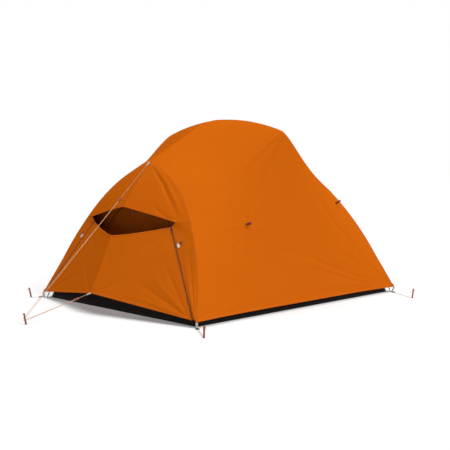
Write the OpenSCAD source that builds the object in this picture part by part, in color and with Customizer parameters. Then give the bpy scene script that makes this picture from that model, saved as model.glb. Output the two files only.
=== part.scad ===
// Two-door hub tent, pitched: a spine pole with a three-way hub at each end, a ridge pole
// across it, four curved legs, an inner tent clipped to them and a fly drawn over the top.
// X runs across the tent, Y from the front door to the rear door, Z up from the ground.

/* [Floor] */
// Width between the pole feet
floor_w = 1690; // [1560:10:1820]
// Depth between the pole feet
floor_d = 2120; // [2000:10:2240]
// Height of the bathtub floor's wall
tub_h = 105; // [80:5:130]
// Thickness of the floor fabric
tub_t = 3; // [2:0.5:4]
// How far the floor's foot lies inside the pole feet
tub_inset = 22; // [16:2:40]

/* [Poles] */
// Outer diameter of the pole tubes
pole_d = 8.6; // [8:0.1:9.2]
// Wall of the pole tubes
pole_wall = 0.9; // [0.6:0.1:1.2]
// Height of the poles at the crossing
apex_h = 1350; // [1320:5:1380]
// Height of each hub
hub_h = 1024; // [1000:4:1050]
// Distance from the crossing to each hub, seen from above
hub_y = 718; // [690:4:746]
// Slope of the spine pole where it enters a hub, against the straight line to the crossing
spine_arch = 1.23; // [1.15:0.01:1.4]
// Half the span of the ridge pole
ridge_half = 612; // [580:4:640]
// How far the ridge pole's ends lie below its crown
ridge_drop = 102; // [80:2:125]
// How far a leg bows out from the line between foot and hub
leg_bulge = 190; // [150:5:220]
// Where a leg bows most, as a share of the way to the hub
leg_peak = 0.58; // [0.5:0.01:0.66]

/* [Fly] */
// Clear space between the pole's centre line and the fly
fly_lift = 10; // [10:0.5:14]
// Thickness of the fly
fly_t = 2.5; // [1.5:0.5:3]
// Height of the fly's hem at the sides
hem_h = 45; // [30:5:65]
// How far the pegs pull each corner of the fly out past its pole foot
corner_pull = 34; // [24:2:44]
// Hang of the roof between the ridge pole's ends and the legs, as a share of its fall
roof_hang = 0.12; // [0.06:0.01:0.15]
// How far the vestibule's tip stands out past the pole feet
tip_out = 192; // [150:4:240]
// Height of the vestibule's tip
tip_h = 145; // [110:5:180]
// How far the crown of the awning's edge stands out from the hub
awning_out = 240; // [200:5:270]
// How far the crown of the awning's edge lies below the hub
awning_drop = 303; // [270:3:330]
// How far the middle of the door's top edge sags below the zips' top ends
door_sag = 72; // [50:2:95]
// Gap left at a seam between two panels
seam = 0.8; // [0.6:0.1:0.9]

/* [Zips] */
// Width of one row of zip teeth
tooth_w = 3; // [2.5:0.1:3.5]
// Thickness of the zip teeth
tooth_t = 2.2; // [1.8:0.1:2.6]
// Gap between the two rows of teeth
zip_slit = 1.6; // [1.4:0.1:2]
// Width of the tape beside the teeth
tape_w = 4; // [3:0.2:6]
// Thickness of the tape
tape_t = 1; // [0.8:0.1:1.4]
// Length of a zip slider
slider_l = 24; // [18:1:30]
// Length of a zip pull
pull_l = 34; // [26:1:44]

/* [Inner tent] */
// Space between the pole's centre line and the inner tent
inner_gap = 38; // [30:1:50]
// Thickness of the inner tent's fabric
inner_t = 2; // [1.5:0.5:3]
// Width of the inner doors
inner_door_w = 760; // [620:10:860]
// Height of the inner doors above their sill
inner_door_h = 620; // [500:10:680]

/* [Pegs and straps] */
// Length of a peg above the ground
peg_h = 76; // [60:2:95]
// Width across a peg's flanges
peg_w = 13; // [10:0.5:16]
// Width of the corner webbing
web_w = 15; // [12:0.5:20]
// Thickness of the corner webbing
web_t = 1.6; // [1.2:0.1:2]
// Lean of a peg away from the tent, in degrees
peg_lean = 12; // [4:1:20]

/* [Guylines] */
// Diameter of the guylines
cord_d = 3; // [2.4:0.1:3.4]
// Distance of the front peg past the pole feet
stake_out = 692; // [640:4:740]

/* [Hidden] */
$fn = 32;

orange = "#d5651a";
amber = "#c96010";
shade = "#b85a0a";
black = "#15110f";
mesh_brown = "#4a2812";
alloy = "#9aa0a6";
red = "#8c1c18";
white = "#efece6";
beige = "#d8b98c";

half_w = floor_w / 2;
half_d = floor_d / 2;
pole_r = pole_d / 2;
cord_r = cord_d / 2;
fit = 0.3;       // gap between a piece and the piece that carries it
slip = 0.05;     // gap between a pole and the socket that it is pushed into

function mix(a, b, t) = a + (b - a) * t;
function unit(v) = v / norm(v);
function mirrored(p) = [-p.x, p.y, p.z];

// Each pair of legs is one arch in a plane that leans in from the feet to the hub.
// Places in that plane are [across, up the slope].
lean = atan((half_d - hub_y) / hub_h);
arch_h = norm([half_d - hub_y, hub_h]);
chord = norm([half_w, arch_h]);
along = [-half_w, arch_h] / chord;
bow = [along.y, -along.x];
peak = leg_peak * chord;
low_r = (peak ^ 2 + leg_bulge ^ 2) / (2 * leg_bulge);
top_r = ((chord - peak) ^ 2 + leg_bulge ^ 2) / (2 * leg_bulge);
function bend_r(d) = d < peak ? low_r : top_r;
function leg_rise(d) = leg_bulge - bend_r(d) + sqrt(bend_r(d) ^ 2 - (d - peak) ^ 2);
function leg_flat(k) = [half_w, 0] + along * chord * k + bow * leg_rise(chord * k);
function lift(p) = [p.x, p.y * sin(lean) - half_d, p.y * cos(lean)];
function leg(k) = lift(leg_flat(k));
// Share of the way up a leg at which it reaches a height, by halving
function leg_at(z, lo = 0, hi = 1, n = 16) =
    n == 0 ? lo : let (m = (lo + hi) / 2)
    leg(m).z < z ? leg_at(z, m, hi, n - 1) : leg_at(z, lo, m, n - 1);

spine_slope = spine_arch * atan((apex_h - hub_h) / hub_y);

// The ridge pole and the fly's crown share one arc, and the spine runs under the ridge pole.
ridge_r = (ridge_half ^ 2 + ridge_drop ^ 2) / (2 * ridge_drop);
function ridge_z(x) = apex_h - ridge_r + sqrt(ridge_r ^ 2 - x ^ 2);
function bend_of(drop) =
    (hub_y * tan(spine_slope) - drop) / (sin(spine_slope) * tan(spine_slope) - 1 + cos(spine_slope));
function line_z(y, top, r) =
    abs(y) < r * sin(spine_slope) ? top - r + sqrt(r ^ 2 - y ^ 2)
    : hub_h + (hub_y - abs(y)) * tan(spine_slope);
crown_r = bend_of(apex_h - hub_h);
cross_gap = pole_d + 1;
spine_top = apex_h - cross_gap;
spine_r = bend_of(spine_top - hub_h);

// The tensioned surface that the poles carry: rows run from one long side over the
// crown to the other (v from 0 to 1), points along a row from front to rear (u -1 to 1).
side_share = 0.64;    // the part of a row's half that lies below the ridge pole's end
side_sag = 14;
function side_mid(t, z0) =
    let (s = min(t / side_share, 1), r = max(t - side_share, 0) / (1 - side_share))
    r > 0 ? [ridge_half * (1 - r), 0, ridge_z(ridge_half * (1 - r))]
    : [mix(half_w, ridge_half, s) - side_sag * sin(180 * s), 0, mix(z0, ridge_z(ridge_half), s)];
function crown_fall(w) = (apex_h - line_z(w * hub_y, apex_h, crown_r)) / (apex_h - hub_h);
function tent(u, v, z0) =
    let (
        t = min(v, 1 - v) * 2,
        w = abs(u),
        k0 = leg_at(z0),
        edge = leg(mix(k0, 1, t ^ 1.05)),
        mid = side_mid(t, z0),
        low = min(t / side_share, 1),
        high = (max(t - side_share, 0) / (1 - side_share)) ^ 2,
        out = mix(2.6, 1.12, low),
        hang = roof_hang * sin(180 * w) ^ 1.5 * low ^ 2,
        fall = mix(w ^ mix(1.5, 1.1, low) + hang, crown_fall(w), high),
        x = mid.x + (edge.x - mid.x) * w ^ out,
        z = mid.z + (edge.z - mid.z) * fall
    ) [v > 0.5 ? -x : x, -u * edge.y, z];
// Outward direction at a place on the tent, as on a dome over the floor
function outward(p) = unit([p.x / half_w ^ 2, p.y / half_d ^ 2, p.z / apex_h ^ 2]);
function raised(p, g) = p + outward(p) * g;

// A closed sheet between two equal grids of points, the first on its outer face
module sheet(outer, inner) {
    rows = len(outer);
    cols = len(outer[0]);
    n = rows * cols;
    function at(i, j) = i * cols + j;
    polyhedron(
        points = concat([for (r = outer) each r], [for (r = inner) each r]),
        faces = concat(
            [for (i = [0:rows - 2], j = [0:cols - 2]) each [
                [at(i, j), at(i + 1, j + 1), at(i, j + 1)],
                [at(i, j), at(i + 1, j), at(i + 1, j + 1)],
                [n + at(i, j), n + at(i, j + 1), n + at(i + 1, j + 1)],
                [n + at(i, j), n + at(i + 1, j + 1), n + at(i + 1, j)]]],
            [for (i = [0:rows - 2], j = [0, cols - 1])
                let (a = j == 0 ? i + 1 : i, b = j == 0 ? i : i + 1)
                each [[at(a, j), at(b, j), n + at(b, j)], [at(a, j), n + at(b, j), n + at(a, j)]]],
            [for (j = [0:cols - 2], i = [0, rows - 1])
                let (a = i == 0 ? j : j + 1, b = i == 0 ? j + 1 : j)
                each [[at(i, a), at(i, b), n + at(i, b)], [at(i, a), n + at(i, b), n + at(i, a)]]]));
}

// A sheet given by its outer grid, thickened inwards
module cloth(grid, t) {
    sheet(grid, [for (row = grid) [for (p = row) p - outward(p) * t]]);
}

module placed(o, x, y, z) {
    multmatrix([[x.x, y.x, z.x, o.x], [x.y, y.y, z.y, o.y], [x.z, y.z, z.z, o.z], [0, 0, 0, 1]])
        children();
}

// Stands children at a point, their Z along a direction and their X near another
module along_line(o, dir, near = [1, 0, 0]) {
    z = unit(dir);
    x = unit(near - z * (near * z));
    placed(o, x, cross(z, x), z) children();
}

module both_sides() {
    children();
    mirror([1, 0, 0]) children();
}

module both_ends() {
    children();
    mirror([0, 1, 0]) children();
}

module rear() {
    mirror([0, 1, 0]) children();
}

module left() {
    mirror([1, 0, 0]) children();
}

// ---- poles ----

module tube_section() {
    difference() {
        circle(pole_r, $fn = 24);
        circle(pole_r - pole_wall, $fn = 24);
    }
}

// An arc of tube in the XY plane about a centre, from one angle to another
module arc_tube(centre, radius, from, to) {
    translate([centre.x, centre.y, 0])
        rotate([0, 0, from])
            rotate_extrude(angle = to - from, $fn = 720)
                translate([radius, 0])
                    tube_section();
}

module straight_tube(from, to) {
    along_line(from, to - from, [0.1, 0.2, 1])
        linear_extrude(norm(to - from))
            tube_section();
}

socket_l = 22;                // depth over which a hub holds a pole
hub_core = 16;                // from a hub's middle to the ends of its poles
leg_start = 24;               // along the chord, where the tube gives way to its foot plug
low_c = [half_w, 0] + along * peak + bow * (leg_bulge - low_r);
top_c = [half_w, 0] + along * peak + bow * (leg_bulge - top_r);
function flat_angle(c, p) = atan2(p.y - c.y, p.x - c.x);
function on_leg(d) = leg_flat(d / chord);
function leg_way(d) = let (c = d < peak ? low_c : top_c, r = on_leg(d) - c) unit([-r.y, r.x]);
function flat3(p) = [p.x, p.y, 0];

// Places near the hub, by the length of tube that they lie below it
function end_angle(l) = flat_angle(top_c, on_leg(chord)) - l / top_r * 180 / PI;
function near_hub(l) = top_c + top_r * [cos(end_angle(l)), sin(end_angle(l))];
function near_hub_way(l) = [-sin(end_angle(l)), cos(end_angle(l))];

module arch_plane() {
    translate([0, -half_d, 0]) rotate([90 - lean, 0, 0]) children();
}

// Sections of a pole butt inside a sleeve, a hair apart.
butt = 0.2;

module leg_pole() {
    arch_plane() {
        arc_tube(low_c, low_r, flat_angle(low_c, on_leg(leg_start)), flat_angle(low_c, on_leg(peak - butt / 2)));
        arc_tube(top_c, top_r, flat_angle(top_c, on_leg(peak + butt / 2)), end_angle(hub_core));
    }
}

spine_a = spine_slope;
spine_c = [0, 0, spine_top - spine_r];
spine_way = [0, cos(spine_slope), sin(spine_slope)];    // from the front hub up the spine
spine_in = [0, -hub_y, hub_h] + spine_way * hub_core;   // where the spine ends in its hub
spine_end = [0, -spine_r * sin(spine_a), spine_c.z + spine_r * cos(spine_a)];

module spine_pole() {
    color(alloy) {
        translate(spine_c)
            rotate([0, -90, 0]) rotate([0, 0, -spine_a])
                rotate_extrude(angle = 2 * spine_a, $fn = 720)
                    translate([spine_r, 0]) tube_section();
        both_ends() straight_tube(spine_end - spine_way * butt, spine_in);
    }
}

ridge_in = 10;        // how far the tube stops short of the fly's corner
ridge_tube = ridge_half - ridge_in;

module ridge_pole() {
    a = asin(ridge_tube / ridge_r);
    color(alloy) translate([0, 0, apex_h - ridge_r])
        rotate([90, 0, 0]) rotate([0, 0, 90 - a])
            rotate_extrude(angle = 2 * a, $fn = 720)
                translate([ridge_r, 0]) tube_section();
}

// Elastic cord that runs inside each pole and pulls its sections together
elastic_r = 1.3;
elastic_in = 20;      // how far inside a tube's end it is knotted

module pole_cords() {
    color(white) {
        both_ends() both_sides()
            cord([for (i = [0:14]) lift(on_leg(mix(leg_start + elastic_in, chord - hub_core - elastic_in, i / 14)))], elastic_r, 6);
        cord([for (i = [-10:10]) let (y = i / 10 * (hub_y - elastic_in)) [0, y, line_z(y, spine_top, spine_r) - 0.8]],
            elastic_r, 6);
        cord([for (i = [-12:12]) let (x = i / 12 * (ridge_tube - elastic_in)) [x, 0, ridge_z(x) - 1.2]],
            elastic_r, 6, [0, 1, 0]);
    }
}

// Three-way hub: a round boss with a socket for each pole and a hanging eye below
hub_wall = 2.6;
hub_slip = 0.15;
boss_r = 12;
boss_h = 10;
hub_at = [0, -hub_y, hub_h];
hub_up = [0, -sin(spine_slope), cos(spine_slope)];

module leg_socket(r, more, before = 0) {
    l = hub_core + socket_l / 2;
    w = near_hub_way(l);
    along_line(flat3(near_hub(l) - w * (socket_l / 2 + before)), flat3(w), [0, 0, 1])
        cylinder(h = before + socket_l + more, r = r);
}

module hub_sockets(r, more, before = 0) {
    arch_plane() both_sides() leg_socket(r, more, before);
    along_line(spine_in - spine_way * more, spine_way) cylinder(h = before + socket_l + more, r = r);
}

module hub() {
    color(black) difference() {
        union() {
            along_line(hub_at, hub_up) {
                translate([0, 0, -boss_h / 2]) cylinder(h = boss_h, r = boss_r);
                translate([0, 0, -boss_h / 2 - 5]) cylinder(h = 6, r = 5);
            }
            hub_sockets(pole_r + hub_wall, 10);
        }
        hub_sockets(pole_r + hub_slip, 0, 2);
        along_line(hub_at, hub_up) translate([0, 0, boss_h / 2 - 1.5]) cylinder(h = 3, r = 5);
    }
}

// Clip at the crossing: two saddles, one on top of the other, turned square
module ridge_swivel() {
    saddle_r = pole_r + 2.2;
    saddle_l = 22;
    color(black) difference() {
        union() {
            translate([-saddle_l / 2, 0, apex_h]) rotate([0, 90, 0]) cylinder(h = saddle_l, r = saddle_r);
            translate([0, saddle_l / 2, spine_top]) rotate([90, 0, 0]) cylinder(h = saddle_l, r = saddle_r);
            translate([0, 0, spine_top]) cylinder(h = cross_gap, r = saddle_r);
        }
        translate([-saddle_l, 0, apex_h]) rotate([0, 90, 0]) cylinder(h = 2 * saddle_l, r = pole_r + fit);
        translate([0, saddle_l, spine_top]) rotate([90, 0, 0]) cylinder(h = 2 * saddle_l, r = pole_r + fit);
    }
}

module ridge_caps() {
    a = asin(ridge_tube / ridge_r);
    color(black) both_sides()
        along_line([ridge_tube, 0, ridge_z(ridge_tube)], [cos(a), 0, -sin(a)], [0, 1, 0]) {
            cylinder(h = 4, r1 = pole_r, r2 = pole_r + 1);
            translate([0, 0, 4]) cylinder(h = 2, r1 = pole_r + 1, r2 = pole_r - 0.5);
        }
}

// Foot plugs, which stand in the eyelets at the floor's corners
foot_p = on_leg(leg_start);
foot_way = leg_way(leg_start);
plug_r = 2.8;
plug_l = (lift(foot_p).z - web_t - fit - plug_r) / (foot_way.y * cos(lean));

module pole_tips() {
    color(black) both_ends() both_sides() arch_plane()
        along_line(flat3(foot_p), flat3(-foot_way), [0, 0, 1]) {
            cylinder(h = 7, r = pole_r);
            cylinder(h = plug_l, r = plug_r);
            translate([0, 0, plug_l]) sphere(r = plug_r);
        }
}

eyelet_h = 2;

module foot_eyelets() {
    color(alloy) both_ends() both_sides()
        translate([half_w, -half_d, web_t]) difference() {
            cylinder(h = eyelet_h, r = 9);
            translate([0, 0, -1]) cylinder(h = eyelet_h + 2, r = 6);
        }
}

// Sleeves where two sections of a pole meet
joint_l = 26;

module sleeve() {
    difference() {
        cylinder(h = joint_l, r = pole_r + 0.9);
        translate([0, 0, -1]) cylinder(h = joint_l + 2, r = pole_r + 0.15);
    }
}

module pole_joints() {
    color(alloy) {
        both_ends() both_sides() arch_plane()
            for (d = [0.28 * chord, peak, 0.82 * chord])
                let (w = leg_way(d))
                    along_line(flat3(on_leg(d) - w * joint_l / 2), flat3(w), [0, 0, 1]) sleeve();
        both_ends() along_line(spine_end - spine_way * joint_l / 2, spine_way) sleeve();
    }
}

// ---- inner tent and floor ----

inner_z0 = tub_h + 2;
function inner_point(u, v, g) = raised(tent(u, v, inner_z0), -g);
inner_rows = 20;
inner_cols = 10;

module inner_canopy() {
    color(mesh_brown) sheet(
        [for (i = [0:inner_rows]) [for (j = [0:inner_cols])
            inner_point((2 * j / inner_cols - 1) * (1 - seam / half_d), i / inner_rows, inner_gap)]],
        [for (i = [0:inner_rows]) [for (j = [0:inner_cols])
            inner_point((2 * j / inner_cols - 1) * (1 - seam / half_d), i / inner_rows, inner_gap + inner_t)]]);
}

// End wall of the inner tent, between the edges of its canopy, whose rows it follows
wall_rows = inner_rows / 2;
wall_top = wall_rows - 0.5;

function inner_k(i) = mix(leg_at(inner_z0), 1, (2 * i / inner_rows) ^ 1.05);
function wall_corner(i) = raised(leg(inner_k(i)), -inner_gap - inner_t - 2 * fit);
function wall_edge(i) = mix(wall_corner(floor(i)), wall_corner(min(floor(i) + 1, wall_rows)), i - floor(i));

module inner_wall_sheet() {
    grid = [for (i = [0:wall_rows]) let (e = wall_edge(min(i, wall_top)))
        [for (j = [0:4]) mix(mirrored(e), e, j / 4)]];
    sheet(grid, [for (row = grid) [for (p = row) p + [0, inner_t, 0]]]);
}

sill = tub_h + 60;

// The inner doors are D-shaped: a straight sill with round corners under a pointed arch.
door_corner = 70;
door_steps = 6;

function door_half(grow) = let (r = inner_door_w / 2 + grow, c = door_corner, top = sill + inner_door_h + grow,
        shoulder = sill + inner_door_h * 0.42) concat(
    [for (i = [0:door_steps]) let (a = -90 + 90 * i / door_steps)
        [r - c + c * cos(a), sill - grow + c + c * sin(a)]],
    [for (i = [0:door_steps]) let (a = 90 * i / door_steps)
        [r * cos(a) ^ 0.8, shoulder + (top - shoulder) * sin(a)]]);

module door_outline(grow) {
    half = door_half(grow);
    n = len(half);
    polygon(concat(half, [for (i = [n - 2:-1:0]) [-half[i].x, half[i].y]]));
}

module door_prism(grow) {
    translate([0, -1, 0]) rotate([90, 0, 0])
        linear_extrude(height = half_d) door_outline(grow);
}

module inner_wall() {
    color(mesh_brown) difference() {
        inner_wall_sheet();
        door_prism(0);
    }
}

zip_gap = 8;

module inner_door() {
    color("#4a4541") intersection() {
        inner_wall_sheet();
        door_prism(-zip_gap);
    }
}

module inner_zips() {
    color(black) both_ends() intersection() {
        inner_wall_sheet();
        difference() {
            door_prism(-fit);
            door_prism(fit - zip_gap);
        }
    }
}

module groundsheet() {
    rim = inner_point(1, 0, inner_gap);
    top_z = rim.z - fit;
    low = [half_w - tub_inset, half_d - tub_inset, 0];
    high = [rim.x, rim.y, top_z];
    in_t = [tub_t, tub_t, 0];
    function ring(p) = [[-p.x, -p.y, p.z], [p.x, -p.y, p.z], [p.x, p.y, p.z], [-p.x, p.y, p.z]];
    pts = concat(ring(low), ring(high), ring(high - in_t), ring(low - in_t + [0, 0, tub_t]));
    color(black) polyhedron(points = pts, faces = concat(
        [[0, 1, 2, 3]],
        [for (r = [0:2], i = [0:3]) let (n = (i + 1) % 4)
            [4 * r + i, 4 * r + 4 + i, 4 * r + 4 + n, 4 * r + n]],
        [[15, 14, 13, 12]]));
}

// Clips that hang the inner tent from the poles: a ring on the pole and a strap down to the
// canopy's edge
clip_l = 12;
ring_wall = 1.8;
ring_r = pole_r + fit + ring_wall;
clip_rows = [1, 4, 7];

module pole_ring(l, r) {
    rotate([90, 0, 0]) difference() {
        translate([0, 0, -l / 2]) cylinder(h = l, r = r, $fn = 20);
        translate([0, 0, -l]) cylinder(h = 2 * l, r = pole_r + fit, $fn = 20);
    }
}

function leg_dir(k) = unit(leg(k + 0.004) - leg(k - 0.004));
// Direction out from a leg, square to it
function leg_out(k) = let (o = outward(leg(k)), w = leg_dir(k)) o - w * (o * w);

module on_pole(k) {
    placed(leg(k), cross(leg_dir(k), unit(leg_out(k))), leg_dir(k), unit(leg_out(k))) children();
}

module pole_clips() {
    color(black) both_ends() both_sides()
        for (i = clip_rows) let (k = inner_k(i), q = norm(leg_out(k)))
            on_pole(k) {
                pole_ring(clip_l, ring_r);
                translate([-2.6, -clip_l / 2, -q * inner_gap - inner_t / 2])
                    cube([2, clip_l, q * inner_gap + inner_t / 2 - ring_r + 0.4]);
            }
}

// ---- fly ----

fly_out = fly_lift + fly_t;
fly_rows = 28;
fly_cols = 12;
awning_row = 7;       // the fly's row at which the wing gives way to the awning
function row_k(i) = mix(leg_at(hem_h), 1, (min(i, fly_rows - i) * 2 / fly_rows) ^ 1.05);

// The corner pegs draw the fly's corners out and a little down, less and less up the legs
corner_way = unit([1, -1, -0.25]);
pull_share = 0.2;
function pulled(k) = corner_pull * max(1 - (k - leg_at(hem_h)) / pull_share, 0) ^ 1.5;
function fly_point(u, v) =
    let (f = pulled(mix(leg_at(hem_h), 1, (min(v, 1 - v) * 2) ^ 1.05)) * abs(u) ^ 4)
    raised(tent(u, v, hem_h), fly_out)
        + f * [corner_way.x * (v > 0.5 ? -1 : 1), corner_way.y * (u < 0 ? 1 : -1), corner_way.z];

module fly_canopy() {
    color(orange) cloth([for (i = [0:fly_rows]) [for (j = [0:fly_cols])
        fly_point((2 * j / fly_cols - 1) * (1 - seam / half_d), i / fly_rows)]], fly_t);
}

// The front of the fly, right half; the left half and the rear mirror it
tip = [0, -half_d - tip_out, tip_h];
zip_foot = [half_w - 14, -half_d - 18, hem_h + 6];
zip_head = [0.509 * half_w, mix(-half_d, -hub_y, 0.453), 0.586 * hub_h];
zip_l = norm(zip_head - zip_foot);
door_top = [0, -half_d - 10, zip_head.z - door_sag];
awning_crown = [0, -hub_y - fly_out - awning_out, hub_h - awning_drop];
awning_end = zip_head + [0.0473 * half_w, 0.0205 * (half_d - hub_y), 0.031 * hub_h];
zip_way = (zip_head - zip_foot) / zip_l;
zip_out = unit(cross(zip_head - zip_foot, door_top - zip_head));
zip_side = cross(zip_way, zip_out);
zip_half = zip_slit / 2 + tooth_w + tape_w;
wing_cols = 3;
panel_bulge = 9;

function arch_line(k) = raised(leg(k), fly_out) + corner_way * pulled(k);
function zip_line(t, side) = zip_foot + zip_way * zip_l * t + zip_side * side + zip_out * fly_t / 2;
function wing_inner(t) = t > 1 ? awning_end : zip_line(t, zip_half + fit);

function wing_point(i, s) = let (
        t = i / (awning_row - 1),
        p = mix(arch_line(row_k(i)), wing_inner(t), s)
    ) p + outward(p) * panel_bulge * sin(180 * s) * max(1 - t, 0);

module wing() {
    outer = [for (i = [0:awning_row]) [for (j = [0:wing_cols]) wing_point(i, j / wing_cols)]];
    inner = [for (row = outer) [for (j = [0:wing_cols])
        row[j] - unit(mix(outward(row[j]), zip_out, j / wing_cols)) * fly_t]];
    color(shade) sheet(inner, outer);
}

awning_cols = fly_rows - 2 * awning_row;
awning_rows = 4;

function awning_low(a) = [
    awning_end.x * a,
    mix(awning_crown.y, awning_end.y, abs(a) ^ 1.2),
    mix(awning_crown.z, awning_end.z, abs(a) ^ 1.15)];

function awning_high(j) = let (p = arch_line(row_k(awning_row + j))) j * 2 > awning_cols ? mirrored(p) : p;

module awning() {
    grid = [for (i = [0:awning_rows]) [for (j = [0:awning_cols]) let (
            a = 1 - 2 * j / awning_cols,
            s = i / awning_rows,
            p = mix(awning_high(j), awning_low(a), s)
        ) p + [0, 0, seam * (1 + s)] * abs(a) + outward(p) * panel_bulge * sin(180 * s) * (1 - abs(a))]];
    color(amber) cloth(grid, fly_t);
}

panel_cols = 4;
door_slit = 0.0001;
door_rows = 5;

function door_edge(t) = zip_line(t, -zip_half - fit);
function door_low(a) = let (p = mix(tip, door_edge(0), abs(a))) a < 0 ? mirrored(p) : p;
function door_high(a) = let (
    e = door_edge(1),
    p = [e.x * abs(a), mix(door_top.y, e.y, abs(a) ^ 1.2), mix(door_top.z, e.z, abs(a) ^ 1.3)]
    ) a < 0 ? mirrored(p) : p;
function door_out(a) = let (
    mid = unit([0, door_top.z - tip.z, tip.y - door_top.y] * -1),
    d = unit(mix(mid, zip_out, abs(a)))
    ) a < 0 ? mirrored(d) : d;

// One cloth panel of a door, between two shares of its half, clear of the next one by a hair
module door_panel(from, to) {
    cols = [for (j = [0:panel_cols]) mix(from + door_slit, to - (to < 1 ? door_slit : 0), j / panel_cols)];
    outer = [for (i = [0:door_rows]) [for (a = cols) mix(door_low(a), door_high(a), i / door_rows)]];
    inner = [for (i = [0:door_rows]) [for (j = [0:panel_cols]) outer[i][j] - door_out(cols[j]) * fly_t]];
    sheet(outer, inner);
}

module door() color(amber) both_sides() {
    door_panel(0, 0.5);
    door_panel(0.5, 1);
}

// ---- zips ----

module zip_frame() {
    placed(zip_foot, zip_side, zip_way, zip_out) children();
}

module zip_row() {
    translate([zip_slit / 2, 0, -tooth_t / 2]) cube([tooth_w, zip_l, tooth_t]);
    translate([zip_slit / 2 + tooth_w - 0.5, 0, -tape_t / 2]) cube([tape_w + 0.5, zip_l, tape_t]);
    // stops at both ends, and the bridge that joins the rows at the foot
    translate([0, 0, -tooth_t / 2]) cube([zip_slit / 2 + tooth_w, 6, tooth_t]);
    translate([0, zip_l - 6, -tooth_t / 2]) cube([zip_slit / 2 + tooth_w, 6, tooth_t]);
}

module zip_track() {
    zip_frame() {
        zip_row();
        mirror([1, 0, 0]) zip_row();
    }
}

module zip_tracks() color(black) both_sides() zip_track();

// The slider: a plate on each side of the teeth, joined by a post in the slit,
// with two ears outside that carry the pull's pin
slider_w = zip_slit + 2 * tooth_w + 3;
plate_t = 1.2;
plate_z = tooth_t / 2 + fit;
slider_at = zip_l - 6 - slider_l / 2 - 4;     // its middle, with the zip closed
ear_z = plate_z + plate_t;
pin_r = 1.1;
pin_z = ear_z + 2.4;
pull_gap = 0.08;

module plate() {
    linear_extrude(plate_t) polygon([
        [-slider_w / 2 + 2, -slider_l / 2], [slider_w / 2 - 2, -slider_l / 2],
        [slider_w / 2, -slider_l / 6], [slider_w / 2, slider_l / 2 - 3],
        [slider_w / 2 - 3, slider_l / 2], [3 - slider_w / 2, slider_l / 2],
        [-slider_w / 2, slider_l / 2 - 3], [-slider_w / 2, -slider_l / 6]]);
}

module slider() {
    post = zip_slit - 2 * fit;
    color(black) zip_frame() translate([0, slider_at, 0]) {
        translate([0, 0, plate_z]) plate();
        translate([0, 0, -plate_z - plate_t]) plate();
        translate([-post / 2, -2, -plate_z - 0.1]) cube([post, slider_l / 2, 2 * plate_z + 0.2]);
        for (s = [-1, 1])
            translate([s * 3.2 - 0.6, 0, ear_z - 0.1]) cube([1.2, 7, pin_z - ear_z + 1.8]);
        translate([-3.2, 3.5, pin_z]) rotate([0, 90, 0]) cylinder(h = 6.4, r = pin_r);
    }
}

// The pull hangs from the pin, down along the zip
module pull() {
    color(black) zip_frame() translate([0, slider_at + 3.5, pin_z]) {
        difference() {
            union() {
                translate([-2, 0, 0]) rotate([0, 90, 0]) cylinder(h = 4, r = pin_r + 1.2);
                translate([-2, -pull_l / 2, -1]) cube([4, pull_l / 2, 2]);
                translate([0, -pull_l / 2, -1]) linear_extrude(2) hull() {
                    circle(2.2);
                    translate([0, -pull_l / 2 + 3]) circle(3.6);
                }
            }
            translate([-5, 0, 0]) rotate([0, 90, 0]) cylinder(h = 10, r = pin_r + pull_gap);
            translate([0, -pull_l + 3, -5]) cylinder(h = 10, r = 1.4);
        }
    }
}

// ---- small fabric and cord fittings on the fly ----

// Wraps under the fly that hold it to the legs
tie_rows = [3, 7, 12];

module fly_ties() {
    color(black) both_ends() both_sides()
        for (i = tie_rows) let (k = row_k(i), q = norm(leg_out(k)))
            on_pole(k) {
                pole_ring(18, ring_r);
                translate([-1, -9, ring_r - 0.4]) cube([2, 18, q * fly_lift - 1.5 - ring_r + 0.4]);
            }
}

// A loop of webbing that stands off a surface, its width along a given direction
module web_loop(p, out, across, l, r, w, t) {
    x = unit(across - out * (across * out));
    placed(p, cross(out, x), out, cross(cross(out, x), out)) linear_extrude(w, center = true) difference() {
        union() {
            translate([-r, 0]) square([2 * r, l - r]);
            translate([0, l - r]) circle(r, $fn = 24);
        }
        translate([t - r, t]) square([2 * (r - t), l - r - t]);
        translate([0, l - r]) circle(r - t, $fn = 24);
    }
}

side_loop_l = 44;

module side_loop(u, v) {
    e = 0.05;
    p = fly_point(u, v);
    n = unit(cross(fly_point(u + e, v) - fly_point(u - e, v), fly_point(u, v + e) - fly_point(u, v - e)));
    out = n.x > 0 ? n : -n;
    web_loop(p + out * 0.8, out, [0, 0, 1], side_loop_l, 12, 12, 2);
}

module side_loops() {
    color(red) both_sides() {
        side_loop(-6 / fly_cols, 5 / fly_rows);
        side_loop(9 / fly_cols, 7 / fly_rows);
    }
}

// The guyline pulls on a loop at the hub, and its peg stands on the tent's centre line.
loop_r = 3.4;
loop_l = 36;
loop_t = 1.6;
stake = [0, -half_d - stake_out, 0];
hub_line = arch_line(1);
awning_way = unit(awning_crown - hub_line);
loop_at = hub_line + [0, awning_way.z, -awning_way.y] * (loop_r + fit) + [0, 0, 1];
guy_turn = peg_axis(46);
guy_way = unit(guy_turn - loop_at);
guy_from = loop_at + guy_way * (loop_l + fit);
hem_at = tip + [0, -0.9, 2];
hem_turn = peg_axis(28);
hem_way = unit(hem_turn - hem_at);
hem_from = hem_at + hem_way * (loop_l + fit);

module guy_loops() color(white) both_ends() web_loop(loop_at, guy_way, [1, 0, 0], loop_l, loop_r, 8, loop_t);

module hem_loops() color(white) both_ends() web_loop(hem_at, hem_way, [1, 0, 0], loop_l, loop_r, 10, loop_t);

// Toggle that hangs from a wire loop at the awning's edge, for tying up the rolled door
toggle_a = 0.2;
toggle_pin = awning_low(toggle_a) + [0, 2, -9];
toggle_l = 26;
wire_r = 0.9;

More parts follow.
